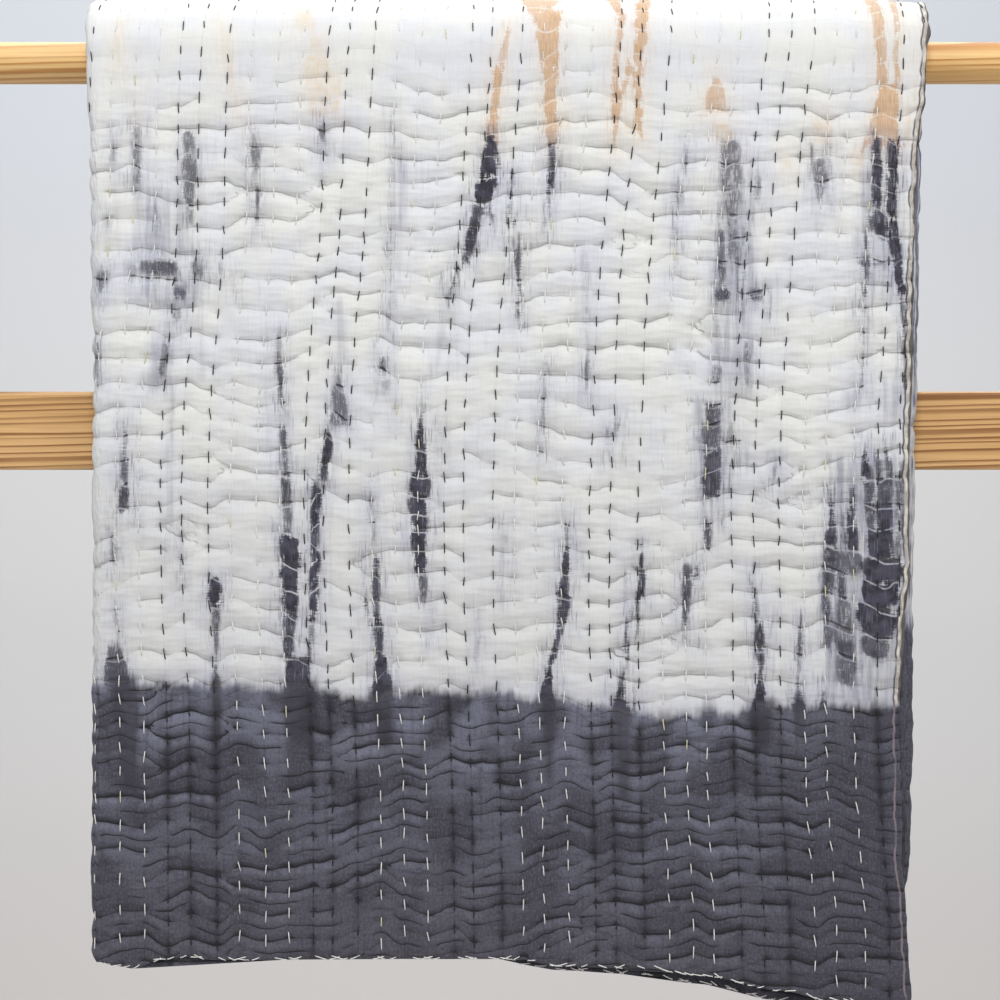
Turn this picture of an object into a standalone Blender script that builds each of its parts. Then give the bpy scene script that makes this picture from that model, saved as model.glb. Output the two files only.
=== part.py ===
"""Kantha quilt folded in four and draped over a round rod, with the flat rail below it.

Metres, +Z up. The origin is the middle of the rod's left end face, and the rod runs along +X.
The front of the quilt faces -Y.

The quilt is one closed solid. Its section along X is a back-and-forth band of four layers, and that
section is swept along a path that climbs the front flap, passes over the rod and goes down the back.
"""

import math
from collections import namedtuple

import bmesh
import bpy

# ---------------------------------------------------------------- wood
ROD_RADIUS = 0.015
ROD_LENGTH = 0.760
ROD_FACETS = 32
ROD_END_CHAMFER = 0.0012

RAIL_HEIGHT = 0.056
RAIL_THICKNESS = 0.020
RAIL_DROP = 0.266
RAIL_CHAMFER = 0.0025

TOUCH = 0.0003

# ---------------------------------------------------------------- cloth
LAYER = 0.0060
LAYER_GAP = 0.0018
LAYER_PITCH = LAYER + LAYER_GAP
ROD_CLEARANCE = 0.0004
INNER_RADIUS = ROD_RADIUS + ROD_CLEARANCE
OUTER_FACE = 3 * LAYER_PITCH + LAYER
FOLD_RADIUS = (LAYER_PITCH + LAYER) / 2.0

HEM_THINNING = 0.0025
HEM_TAPER = 0.94

# Quilting: rows of running stitch draw the cloth into soft level ridges with a crease between each two.
RIDGES_PER_FLAP = 37
RIDGES_OVER_ARCH = 8
RIDGE_PROFILE = (-1.0, 0.7, 0.7)
RIDGE_HEIGHT = 0.0014
RIDGE_WANDER = 0.0032
SCALLOP = 0.0006

# Loft of the two flaps away from the rail, and of the layers from each other, at the hem.
BILLOW_START = 0.33
BILLOW = 0.0035
LAYER_SPREAD = 0.0008

# Reach is measured over the ridge of the arch: down the front it is positive, down the back negative.
ARCH_REACH = 0.070

# X of the left fold, of the outermost layer's open hem, and of the fold that shows beyond that hem.
Edge = namedtuple("Edge", "reach left_fold outer_hem inner_fold")
EDGES = (
    Edge(-0.730, 0.0935, 0.6650, 0.6705),
    Edge(-0.570, 0.0930, 0.6640, 0.6725),
    Edge(-0.370, 0.0915, 0.6700, 0.6770),
    Edge(-0.170, 0.0900, 0.6760, 0.6800),
    Edge(-0.070, 0.0870, 0.6830, 0.6810),
    Edge(0.000, 0.0845, 0.6850, 0.6820),
    Edge(0.048, 0.0860, 0.6840, 0.6805),
    Edge(0.070, 0.0880, 0.6815, 0.6800),
    Edge(0.104, 0.0890, 0.6805, 0.6790),
    Edge(0.118, 0.0895, 0.6765, 0.6793),
    Edge(0.139, 0.0900, 0.6725, 0.6795),
    Edge(0.210, 0.0915, 0.6700, 0.6790),
    Edge(0.280, 0.0925, 0.6680, 0.6775),
    Edge(0.456, 0.0925, 0.6630, 0.6737),
    Edge(0.530, 0.0925, 0.6616, 0.6722),
    Edge(0.640, 0.0925, 0.6620, 0.6700),
    Edge(0.667, 0.0925, 0.6655, 0.6665),
    Edge(0.740, 0.0925, 0.6690, 0.6665),
)

# Drop of the front hems below the rod's axis, for the outermost layer and the one under it.
Hem = namedtuple("Hem", "x outer second")
FRONT_HEMS = (
    Hem(0.0900, 0.6300, 0.6300),
    Hem(0.0925, 0.6330, 0.6330),
    Hem(0.0965, 0.6400, 0.6400),
    Hem(0.1090, 0.6432, 0.6432),
    Hem(0.1230, 0.6450, 0.6450),
    Hem(0.1442, 0.6385, 0.6432),
    Hem(0.1810, 0.6392, 0.6400),
    Hem(0.3096, 0.6388, 0.6395),
    Hem(0.3941, 0.6396, 0.6440),
    Hem(0.4222, 0.6440, 0.6480),
    Hem(0.4786, 0.6453, 0.6510),
    Hem(0.5208, 0.6502, 0.6575),
    Hem(0.5771, 0.6608, 0.6690),
    Hem(0.6123, 0.6678, 0.6745),
    Hem(0.6686, 0.6720, 0.6790),
    Hem(0.7000, 0.6725, 0.6795),
)
REAR_HEM_LONGER = 0.010
INNER_HEMS_SHORTER = 0.005

# ---------------------------------------------------------------- mesh density
ROWS_PER_RIDGE = len(RIDGE_PROFILE)
FLAP_ROWS = RIDGES_PER_FLAP * ROWS_PER_RIDGE
ARCH_ROWS = RIDGES_OVER_ARCH * ROWS_PER_RIDGE
COARSE_FLAP_STEP = 9
COARSE_ARCH_STEP = 2
OUTER_COLUMNS = 12
HIDDEN_COLUMNS = 2
FOLD_STEPS = 3

WHITE_COTTON = (0.78, 0.78, 0.76, 1.0)
PINE = (0.66, 0.42, 0.20, 1.0)

# A place on the section's outline. Along is its place in the band of layers. Share runs from the left fold (0)
# to the right edge (1), and bulge is how far the place stands out past that edge. Height is above the innermost
# face, layer counts from the outside, and fine places have every row of the mesh.
Station = namedtuple("Station", "along share edge bulge height layer fine")


def smooth(t):
    """Ease t from 0 to 1 with level ends."""
    t = min(max(t, 0.0), 1.0)
    return t * t * (3.0 - 2.0 * t)


def from_table(rows, key, column, at):
    """Value of a column, eased between the two rows around a place."""
    if at <= getattr(rows[0], key):
        return getattr(rows[0], column)
    for low, high in zip(rows, rows[1:]):
        start, end = getattr(low, key), getattr(high, key)
        if at <= end:
            t = smooth((at - start) / (end - start))
            return getattr(low, column) * (1.0 - t) + getattr(high, column) * t
    return getattr(rows[-1], column)


def hem_drop(x, layer, front):
    """How far below the rod's axis a layer ends, with folds between two layers."""
    outer = from_table(FRONT_HEMS, "x", "outer", x)
    second = from_table(FRONT_HEMS, "x", "second", x)
    if not front:
        outer += REAR_HEM_LONGER
        second += REAR_HEM_LONGER
    inner = second - INNER_HEMS_SHORTER
    if layer <= 1.0:
        return outer + (second - outer) * layer
    return second + (inner - second) * min(layer - 1.0, 1.0)


def flat_face(height, layer, shares, edge, fine):
    """Stations along one face of a layer. Even layers run right to left along the band, odd ones back."""
    stations = []
    for share in sorted(shares, reverse=layer % 2 == 0):
        travelled = share if layer % 2 else 1.0 - share
        stations.append(Station(layer + 0.5 * travelled, share, edge, 0.0, height, layer, fine))
    return stations


def fold_arc(low, high, upper_layer, side, fine):
    """Half-round stations of a fold's outside, from its high end to its low end."""
    edge = "left_fold" if side < 0 else "inner_fold"
    share = 0.0 if side < 0 else 1.0
    stations = []
    for step in range(1, FOLD_STEPS):
        turned = step / FOLD_STEPS
        height = (low + high) / 2.0 + FOLD_RADIUS * math.cos(math.pi * turned)
        bulge = side * FOLD_RADIUS * math.sin(math.pi * turned)
        along = upper_layer + 0.5 + 0.5 * turned
        stations.append(Station(along, share, edge, bulge, height, upper_layer + turned, fine))
    return stations


def even_shares(columns):
    """Shares from the left fold to the right edge."""
    return [i / columns for i in range(columns + 1)]


def outer_side():
    """Stations of the band's first face, which starts as the outermost face of the folded quilt."""
    hidden = even_shares(HIDDEN_COLUMNS)
    second_bottom = LAYER_PITCH * 2
    third_top = LAYER_PITCH + LAYER
    stations = flat_face(OUTER_FACE, 0, even_shares(OUTER_COLUMNS) + [HEM_TAPER], "outer_hem", True)
    stations += fold_arc(second_bottom, OUTER_FACE, 0, -1, True)
    stations += flat_face(second_bottom, 1, hidden, "inner_fold", False)
    stations += flat_face(third_top, 2, hidden, "inner_fold", False)
    stations += fold_arc(0.0, third_top, 2, -1, False)
    stations += flat_face(0.0, 3, hidden, "outer_hem", False)
    return stations


def inner_side():
    """Stations of the band's other face, in the same direction along the band."""
    hidden = even_shares(HIDDEN_COLUMNS)
    second_top = LAYER_PITCH * 2 + LAYER
    stations = flat_face(LAYER_PITCH * 3, 0, hidden, "outer_hem", False)
    stations += flat_face(second_top, 1, hidden, "inner_fold", False)
    stations += fold_arc(LAYER_PITCH, second_top, 1, 1, True)
    stations += flat_face(LAYER_PITCH, 2, hidden, "inner_fold", False)
    stations += flat_face(LAYER, 3, hidden, "outer_hem", False)
    return stations


def row_places():
    """(part of the path, amount) of every row: the flaps hold fractions of their drop, the arch an angle."""
    rows = [("front", 1.0 - i / FLAP_ROWS) for i in range(FLAP_ROWS)]
    rows += [("arch", math.pi * i / ARCH_ROWS) for i in range(ARCH_ROWS + 1)]
    rows += [("rear", (i + 1) / FLAP_ROWS) for i in range(FLAP_ROWS)]
    return rows


def coarse_rows():
    """Indices of the rows that hidden faces keep: half the rows of the arch and a few of each flap."""
    last_arch = FLAP_ROWS + ARCH_ROWS
    last_row = last_arch + FLAP_ROWS
    kept = list(range(0, FLAP_ROWS, COARSE_FLAP_STEP))
    kept += list(range(FLAP_ROWS, last_arch + 1, COARSE_ARCH_STEP))
    kept += sorted(range(last_row, last_arch, -COARSE_FLAP_STEP))
    return kept


def reach_of(part, amount, drop):
    """Signed reach over the ridge."""
    if part == "arch":
        return ARCH_REACH * (1.0 - 2.0 * amount / math.pi)
    return ARCH_REACH + drop if part == "front" else -ARCH_REACH - drop


def is_crease(row):
    """Whether a row of the mesh lies in a crease between two ridges."""
    return row % ROWS_PER_RIDGE == 0


def station_x(station, reach, row):
    """X of a station at a reach, with the small scallops that the stitching draws along the edges."""
    left = from_table(EDGES, "reach", "left_fold", reach) + FOLD_RADIUS
    right = left
    if station.edge != "left_fold":
        right = from_table(EDGES, "reach", station.edge, reach)
    if station.edge == "inner_fold":
        right -= FOLD_RADIUS
    x = left + station.share * (right - left) + station.bulge
    if station.fine and (station.bulge != 0.0 or station.share == 1.0):
        outward = -1.0 if station.edge == "left_fold" else 1.0
        x += outward * SCALLOP * (-1.0 if is_crease(row) else 1.0)
    return x


def ridge(station, row, x):
    """Raised quilting on the outermost face, a little uneven along each ridge."""
    if not station.fine or station.layer != 0:
        return 0.0
    strength = 0.65 + 0.35 * math.sin(29.0 * x + 0.83 * row)
    return RIDGE_PROFILE[row % ROWS_PER_RIDGE] * RIDGE_HEIGHT * strength


def wander(station, row, x):
    """How far a quilting ridge strays up or down along its length."""
    if not station.fine or station.layer != 0:
        return 0.0
    nearest_crease = row - row % ROWS_PER_RIDGE
    long_wave = math.sin(11.0 * x + 0.21 * nearest_crease)
    short_wave = math.sin(26.0 * x + 0.47 * nearest_crease)
    return RIDGE_WANDER * (0.6 * long_wave + 0.4 * short_wave)


def place(station, row, part, amount):
    """Position of one vertex."""
    front = part != "rear"
    drop = 0.0
    height = station.height
    x = station_x(station, reach_of(part, amount, amount * FRONT_HEMS[0].outer), row)
    if part != "arch":
        drop = amount * hem_drop(x, station.layer, front)
        drop += wander(station, row, x) * math.sin(math.pi * amount)
        x = station_x(station, reach_of(part, amount, drop), row)
        loft = smooth((drop - BILLOW_START) / (FRONT_HEMS[0].outer - BILLOW_START))
        swing = 0.6 + 0.4 * math.sin(11.0 * x + (0.4 if front else 2.1))
        height += loft * (BILLOW * swing + LAYER_SPREAD * (3.0 - station.layer))
    if station.fine and station.layer == 0 and station.share > HEM_TAPER:
        height -= HEM_THINNING
    radius = INNER_RADIUS + height + ridge(station, row, x)
    if part == "arch":
        return (x, -radius * math.cos(amount), radius * math.sin(amount))
    side = -1.0 if front else 1.0
    return (x, side * radius, -drop)


def bridge(bm, keys_a, verts_a, keys_b, verts_b):
    """Close the strip between two chains of vertices that share their first and last keys."""
    a = b = 0
    while a < len(keys_a) - 1 or b < len(keys_b) - 1:
        next_a = keys_a[a + 1] if a < len(keys_a) - 1 else math.inf
        next_b = keys_b[b + 1] if b < len(keys_b) - 1 else math.inf
        if next_a == next_b:
            bm.faces.new((verts_a[a], verts_a[a + 1], verts_b[b + 1], verts_b[b]))
            a += 1
            b += 1
        elif next_a < next_b:
            bm.faces.new((verts_a[a], verts_a[a + 1], verts_b[b]))
            a += 1
        else:
            bm.faces.new((verts_a[a], verts_b[b + 1], verts_b[b]))
            b += 1


def new_material(name, colour, roughness):
    """Plain finish of one piece."""
    material = bpy.data.materials.new(name)
    material.use_nodes = True
    shader = material.node_tree.nodes["Principled BSDF"]
    shader.inputs["Base Color"].default_value = colour
    shader.inputs["Roughness"].default_value = roughness
    shader.inputs["Metallic"].default_value = 0.0
    return material


def add_object(name, bm, material):
    """Turn a bmesh into a named, smooth-shaded object."""
    bmesh.ops.recalc_face_normals(bm, faces=bm.faces)
    mesh = bpy.data.meshes.new(name)
    bm.to_mesh(mesh)
    bm.free()
    mesh.materials.append(material)
    mesh.shade_smooth()
    mesh.set_sharp_from_angle(angle=math.radians(40.0))
    part = bpy.data.objects.new(name, mesh)
    bpy.context.scene.collection.objects.link(part)
    return part


def make_quilt():
    """One closed sheet: columns of vertices around the section, bridged, and closed at both hems."""
    bm = bmesh.new()
    rows = row_places()
    all_rows = list(range(len(rows)))
    few_rows = coarse_rows()
    columns = {}
    sides = (outer_side(), inner_side())
    for side, stations in enumerate(sides):
        for index, station in enumerate(stations):
            kept = all_rows if station.fine else few_rows
            verts = [bm.verts.new(place(station, row, *rows[row])) for row in kept]
            columns[side, index] = (kept, verts)
    around = [(0, i) for i in range(len(sides[0]))]
    around += [(1, i) for i in reversed(range(len(sides[1])))]
    for here, there in zip(around, around[1:] + around[:1]):
        bridge(bm, *columns[here], *columns[there])
    for end in (0, -1):
        chains = []
        for side, stations in enumerate(sides):
            keys = [station.along for station in stations]
            chains.append((keys, [columns[side, i][1][end] for i in range(len(stations))]))
        bridge(bm, *chains[0], *chains[1])
    return add_object("quilt", bm, new_material("white_cotton", WHITE_COTTON, 0.9))


def make_rod(pine):
    """Round dowel along X with lightly broken ends."""
    bm = bmesh.new()
    bmesh.ops.create_cone(
        bm, cap_ends=True, segments=ROD_FACETS, radius1=ROD_RADIUS, radius2=ROD_RADIUS, depth=ROD_LENGTH
    )
    rims = [edge for edge in bm.edges if len(edge.link_faces[0].verts) != len(edge.link_faces[1].verts)]
    bmesh.ops.bevel(bm, geom=rims, offset=ROD_END_CHAMFER, segments=1, affect="EDGES")
    rod = add_object("rod", bm, pine)
    rod.rotation_euler = (0.0, math.pi / 2.0, 0.0)
    rod.location = (ROD_LENGTH / 2.0, 0.0, 0.0)
    return rod


def make_rail(pine):
    """Flat rail along X, its front face against the back of the front flap."""
    bm = bmesh.new()
    bmesh.ops.create_cube(bm, size=1.0)
    bmesh.ops.scale(bm, vec=(ROD_LENGTH, RAIL_THICKNESS, RAIL_HEIGHT), verts=bm.verts)
    bmesh.ops.bevel(bm, geom=list(bm.edges), offset=RAIL_CHAMFER, segments=2, profile=0.5, affect="EDGES")
    rail = add_object("rail", bm, pine)
    front_face = -(INNER_RADIUS - TOUCH)
    rail.location = (ROD_LENGTH / 2.0, front_face + RAIL_THICKNESS / 2.0, -RAIL_DROP)
    return rail


def main():
    """Clear the scene and make the three pieces."""
    for old in list(bpy.data.objects):
        bpy.data.objects.remove(old)
    pine = new_material("pine", PINE, 0.55)
    make_quilt()
    make_rod(pine)
    make_rail(pine)


main()
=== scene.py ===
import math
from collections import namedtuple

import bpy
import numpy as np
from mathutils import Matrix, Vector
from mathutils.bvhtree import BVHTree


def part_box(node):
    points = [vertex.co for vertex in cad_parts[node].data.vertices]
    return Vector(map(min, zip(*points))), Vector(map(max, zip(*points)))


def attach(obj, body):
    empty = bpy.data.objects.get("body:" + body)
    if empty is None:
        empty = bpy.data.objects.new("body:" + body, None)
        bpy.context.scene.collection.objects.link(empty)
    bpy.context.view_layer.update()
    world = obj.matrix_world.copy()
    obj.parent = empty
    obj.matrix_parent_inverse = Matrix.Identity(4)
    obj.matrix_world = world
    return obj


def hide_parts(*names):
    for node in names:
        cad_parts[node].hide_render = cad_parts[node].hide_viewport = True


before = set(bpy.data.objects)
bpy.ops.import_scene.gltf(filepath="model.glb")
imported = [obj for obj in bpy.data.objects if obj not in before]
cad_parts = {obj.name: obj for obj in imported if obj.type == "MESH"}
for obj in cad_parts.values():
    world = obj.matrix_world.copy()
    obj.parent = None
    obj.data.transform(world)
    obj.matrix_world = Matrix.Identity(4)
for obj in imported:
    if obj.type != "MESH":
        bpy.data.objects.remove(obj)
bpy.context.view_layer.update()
# %% [markdown]
# # A folded kantha quilt on its rod
#
# This lesson dresses a quilt that has been folded in four and hung over a round wooden rod. The solids that
# come with it give the size and the main folds. Here we make the cloth that the eye meets: quilting ridges,
# dye that crept along the threads, rows of running stitch, overcast hems, and the pine of the rod and rail.
# We start by noting the boxes that the rod and the rail fill.
# We start by noting the box that the solids fill, because nothing made here may outgrow it.

# %% [markdown]
# ## The cloth's own sizes
#
# The quilt is a band of four layers with a small air gap between each two. Three sizes drive all the heights:
# how thick a quilted layer is, how far apart the layers lie, and the radius at which the innermost one passes
# over the rod. We repeat them here from the solids, so that the fine cloth lies exactly on them.

# %% Sizes of the folded cloth, in metres
LAYER = 0.0060
LAYER_GAP = 0.0018
LAYER_PITCH = LAYER + LAYER_GAP
INNER_RADIUS = 0.0154
OUTER_FACE = 3 * LAYER_PITCH + LAYER
FOLD_RADIUS = (LAYER_PITCH + LAYER) / 2
ARCH_REACH = 0.070
RIDGE_PITCH = 0.0177
BILLOW_START, BILLOW, LAYER_SPREAD = 0.33, 0.0035, 0.0008
rod_low, rod_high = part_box("rod")
rail_low, rail_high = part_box("rail")
rod_thickness, rail_height = rod_high[2] - rod_low[2], rail_high[2] - rail_low[2]
print("rod", round(rod_thickness * 1000, 1), "mm thick; rail", round(rail_height * 1000, 1), "mm high")
print("outer radius over the rod:", round((INNER_RADIUS + OUTER_FACE) * 1000, 1), "mm")

# %% [markdown]
# ## Placing things in the picture
#
# The dye marks and the edges were placed in a picture 1000 units wide, in which one unit is
# 0.704 mm at the quilt's front. Two small functions turn such a place into metres across the rod and
# metres below it, so every table further down can be read against that picture. Above the rod's middle the
# cloth leans away from the eye, so there a unit covers a little more of it.
#
# Along the cloth we measure "reach": zero on the ridge above the rod, positive down the front and negative
# down the back. The arch over the rod takes 70 mm of reach on each side.

# %% From picture units to metres on the cloth
UNIT = 0.000704
PICTURE_MIDDLE = 500
ARCH_STRETCH = 1.24
ROD_MIDDLE = 0.380
AXIS_ROW = 51.4


def across(column):
    """X in metres of a column of the picture, at the quilt's front."""
    return ROD_MIDDLE + (np.asarray(column, float) - PICTURE_MIDDLE) * UNIT


def reach_at(row):
    """Reach in metres of a row of the picture: straight down the flap, and round the arch above it."""
    row = np.asarray(row, float)
    rise = np.clip((AXIS_ROW - row) * UNIT * ARCH_STRETCH / (INNER_RADIUS + OUTER_FACE), 0.0, 1.0)
    on_arch = ARCH_REACH - np.arcsin(rise) * (INNER_RADIUS + OUTER_FACE)
    return np.where(row > AXIS_ROW, ARCH_REACH + (row - AXIS_ROW) * UNIT, on_arch)


print("left fold at", float(across(92)), "m; reach of the front hem", float(reach_at(962)), "m")

# %% [markdown]
# ## Edges that aren't straight
#
# Folded cloth never has ruler-straight edges. One table gives the X of the left fold, of the open hem and of
# the rounded fold that peeps out beyond it, at several reaches. A second table gives how far each of the two
# front hems hangs below the rod. Both are eased from row to row, which keeps the outline soft.

# %% Tables of the outline
Edge = namedtuple("Edge", "reach left_fold outer_hem inner_fold")
EDGES = [Edge(*row) for row in (
    (-0.730, 0.0935, 0.6650, 0.6705),
    (-0.570, 0.0930, 0.6640, 0.6725),
    (-0.370, 0.0915, 0.6700, 0.6770),
    (-0.170, 0.0900, 0.6760, 0.6800),
    (-0.070, 0.0870, 0.6830, 0.6810),
    (0.000, 0.0845, 0.6850, 0.6820),
    (0.048, 0.0860, 0.6840, 0.6805),
    (0.070, 0.0880, 0.6815, 0.6800),
    (0.104, 0.0890, 0.6805, 0.6790),
    (0.118, 0.0895, 0.6765, 0.6793),
    (0.139, 0.0900, 0.6745, 0.6785),
    (0.210, 0.0915, 0.6720, 0.6775),
    (0.280, 0.0925, 0.6705, 0.6758),
    (0.390, 0.0925, 0.6682, 0.6738),
    (0.440, 0.0925, 0.6690, 0.6725),
    (0.456, 0.0925, 0.6655, 0.6725),
    (0.530, 0.0925, 0.6616, 0.6722),
    (0.640, 0.0925, 0.6620, 0.6700),
    (0.667, 0.0925, 0.6655, 0.6665),
    (0.740, 0.0925, 0.6690, 0.6665),
)]
Hem = namedtuple("Hem", "x outer second")
FRONT_HEMS = [Hem(*row) for row in (
    (0.0900, 0.6300, 0.6300),
    (0.0925, 0.6330, 0.6330),
    (0.0965, 0.6400, 0.6400),
    (0.1090, 0.6432, 0.6432),
    (0.1230, 0.6450, 0.6450),
    (0.1442, 0.6385, 0.6432),
    (0.1600, 0.6370, 0.6438),
    (0.1810, 0.6392, 0.6395),
    (0.3096, 0.6388, 0.6385),
    (0.3850, 0.6390, 0.6400),
    (0.3941, 0.6396, 0.6440),
    (0.4222, 0.6440, 0.6480),
    (0.4786, 0.6453, 0.6510),
    (0.5208, 0.6502, 0.6575),
    (0.5771, 0.6608, 0.6690),
    (0.6123, 0.6678, 0.6745),
    (0.6686, 0.6720, 0.6790),
    (0.7000, 0.6725, 0.6795),
)]
REAR_HEM_LONGER = 0.010
INNER_HEMS_SHORTER = 0.005


def smooth(t):
    """Ease from 0 to 1 with level ends."""
    t = np.clip(t, 0.0, 1.0)
    return t * t * (3.0 - 2.0 * t)


def from_table(rows, key, column, at):
    """A column's value at one or many places, eased between the rows around each."""
    keys = np.array([getattr(row, key) for row in rows])
    values = np.array([getattr(row, column) for row in rows])
    at = np.clip(at, keys[0], keys[-1])
    low = np.clip(np.searchsorted(keys, at, side="right") - 1, 0, len(keys) - 2)
    t = smooth((at - keys[low]) / (keys[low + 1] - keys[low]))
    return values[low] * (1.0 - t) + values[low + 1] * t


def hem_drop(x, layer, front):
    """How far below the rod's axis a layer ends; a fold lies between two layers."""
    longer = np.where(front, 0.0, REAR_HEM_LONGER)
    outer = from_table(FRONT_HEMS, "x", "outer", x) + longer
    second = from_table(FRONT_HEMS, "x", "second", x) + longer
    outer_part = outer + (second - outer) * min(layer, 1.0)
    return outer_part - INNER_HEMS_SHORTER * min(max(layer - 1.0, 0.0), 1.0)


ridge_width = from_table(EDGES, "reach", "outer_hem", 0.0) - from_table(EDGES, "reach", "left_fold", 0.0)
print("width at the ridge:", round(float(ridge_width), 3), "m")

# %% [markdown]
# ## Smooth randomness
#
# Hand work is uneven, but never jumpy. Value noise gives that: random numbers on a grid, eased in between.
# A fixed seed makes it come out the same each time. It is written with numpy, so thousands of points are
# worked out at once.

# %% Value noise
NOISE_SIZE = 256


def value_noise(x, y, seed):
    """Smooth field from -1 to 1 in which one unit of x or y is one grid cell."""
    grid = np.random.default_rng(seed).uniform(-1.0, 1.0, (NOISE_SIZE, NOISE_SIZE))
    x, y = np.broadcast_arrays(np.asarray(x, float), np.asarray(y, float))
    column, row = np.floor(x).astype(int), np.floor(y).astype(int)
    along, up = smooth(x - column), smooth(y - row)
    near = grid[column % NOISE_SIZE, row % NOISE_SIZE]
    right = grid[(column + 1) % NOISE_SIZE, row % NOISE_SIZE]
    above = grid[column % NOISE_SIZE, (row + 1) % NOISE_SIZE]
    far = grid[(column + 1) % NOISE_SIZE, (row + 1) % NOISE_SIZE]
    low = near * (1.0 - along) + right * along
    return low * (1.0 - up) + (above * (1.0 - along) + far * along) * up


print("noise sample:", round(float(value_noise(1.5, 2.5, 3)), 3))

# %% [markdown]
# ## Rows of running stitch
#
# Kantha is quilted with rows of plain running stitch. Here the rows run up and down, about 17 mm apart, three
# in black thread and then three in white. They don't hang plumb: the table of slants says how far the rows
# have moved to the right at a few heights, because the quilt was laid over the rod slightly askew. "Cloth
# across" is a row's place where it crosses the dye line, and the slant carries it up and down from there.

# %% Stitch rows
TRIO = 3
ROW_COLUMNS = (
    24, 47, 72, 95, 120, 144, 167, 189, 215, 237, 263, 286, 310, 329, 354, 377, 400, 423, 449, 468, 497,
    518, 539, 564, 591, 611, 639, 663, 686, 706, 733, 755, 780, 804, 825, 853, 877, 899, 921,
)
Slant = namedtuple("Slant", "row at_72 at_190 at_331 at_470 at_611 at_755 at_888")
SLANTS = [Slant(*row) for row in (
    (0, 28, 20, 25, 26, 36, 43, 29),
    (40, 20, 13, 20, 24, 31, 37, 27),
    (100, 17, 10, 16, 20, 26, 26, 25),
    (160, 17, 9, 14, 15, 20, 20, 20),
    (240, 15, 8, 10, 10, 12, 14, 13),
    (320, 8, 3, 2, 2, 6, 7, 10),
    (400, 0, -5, -3, -3, 4, 2, 2),
    (500, -4, -8, -6, -5, -1, -2, 1),
    (600, -2, -6, -4, -4, -2, 0, 1),
    (700, 0, 0, 0, 0, 0, 0, 0),
    (800, 1, 2, 4, 4, 2, 1, 3),
    (920, 0, 3, 4, 6, 5, 9, 12),
)]
SLANT_COLUMNS = across([int(name[3:]) for name in Slant._fields[1:]])
SLANT_REACHES = reach_at([slant.row for slant in SLANTS])
SLANT_SHIFTS = np.array([slant[1:] for slant in SLANTS]) * UNIT
REAR_PLUMB = 0.53
ROW_ACROSS = across(ROW_COLUMNS)
ROW_THREAD = ["white" if number // TRIO % 2 else "black" for number in range(len(ROW_COLUMNS))]


def slant(cloth_across, reach):
    """How far a row has moved to the right at a reach. On the back it eases off towards the hem."""
    cloth_across, reach = np.broadcast_arrays(np.atleast_1d(cloth_across), np.atleast_1d(reach))
    columns = [np.interp(reach, SLANT_REACHES, SLANT_SHIFTS[:, i]) for i in range(len(SLANT_COLUMNS))]
    place = np.interp(cloth_across, SLANT_COLUMNS, np.arange(len(SLANT_COLUMNS)))
    low = np.minimum(place.astype(int), len(SLANT_COLUMNS) - 2).ravel()
    share = place.ravel() - low
    each = np.arange(low.size)
    stack = np.stack([c.ravel() for c in columns])
    shift = stack[low, each] * (1.0 - share) + stack[low + 1, each] * share
    return shift.reshape(place.shape) * np.clip(1.0 + np.minimum(reach, 0.0) / REAR_PLUMB, 0.0, 1.0)


def row_number(x, reach):
    """Place among the stitch rows, a whole number on each row."""
    guess = x - slant(x, reach)
    cloth_across = x - slant(guess, reach)
    return np.interp(cloth_across, ROW_ACROSS, np.arange(len(ROW_ACROSS)))


print(len(ROW_ACROSS), "rows,", ROW_THREAD.count("white"), "of them in white thread")

# %% [markdown]
# ## Where the stitches sit, and the creases that join them
#
# A hand that sews a row keeps a steady pace, but each row has its own. So every row gets its own stitch
# length, shares a slow drift with its neighbours, and jitters a little from stitch to stitch.
#
# Each stitch gathers the cloth, and a crease runs from it to the nearest stitch of the next row. Where two
# rows differ in pace, two creases meet at one stitch, which is just how the puckers of a kantha quilt fork.

# %% Stitches and creases
STITCHES_EACH_WAY = 43


def sew_places(number):
    """Reaches of the stitches of one row, from the rear hem to the front hem."""
    own = np.random.default_rng(900 + number)
    count = np.arange(-STITCHES_EACH_WAY, STITCHES_EACH_WAY + 1)
    pace = RIDGE_PITCH * own.normal(1.0, 0.006)
    shared = 0.62 * value_noise(number * 0.30, count * 0.2, 11)
    uneven = own.uniform(-0.10, 0.10) + own.normal(0.0, 0.075, len(count))
    return count * pace + RIDGE_PITCH * (shared + uneven)


def joined(first, second):
    """Pairs of stitches of neighbouring rows that a crease joins: each with its nearest."""
    apart = np.abs(first[:, None] - second[None, :])
    pairs = {(i, int(apart[i].argmin())) for i in range(len(first))}
    pairs |= {(int(apart[:, j].argmin()), j) for j in range(len(second))}
    return np.array(sorted(pairs))


Creases = namedtuple("Creases", "first second strength fade")


def creases_between(number):
    """All creases between a row and the next: their two ends, strength, and how much they fade midway."""
    first, second = ROW_STITCHES[number], ROW_STITCHES[number + 1]
    pairs = joined(first, second)
    start, end = first[pairs[:, 0]], second[pairs[:, 1]]
    middle = (start + end) / 2.0
    slow = value_noise(number * 0.31, middle / 0.034, 21)
    quick = value_noise(number * 0.9, middle / 0.013, 22)
    steep = np.abs(end - start) / RIDGE_PITCH
    strength = np.clip(0.80 + 0.42 * slow + 0.30 * quick - 0.70 * steep, 0.08, 1.3)
    fade = np.random.default_rng(400 + number).uniform(0.0, 0.9, len(pairs)) ** 1.6
    return Creases(start, end, strength, fade)


ROW_STITCHES = [sew_places(i) for i in range(len(ROW_ACROSS))]
CREASES = [creases_between(i) for i in range(len(ROW_ACROSS) - 1)]
print(sum(len(c.first) for c in CREASES), "creases between rows")

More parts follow.
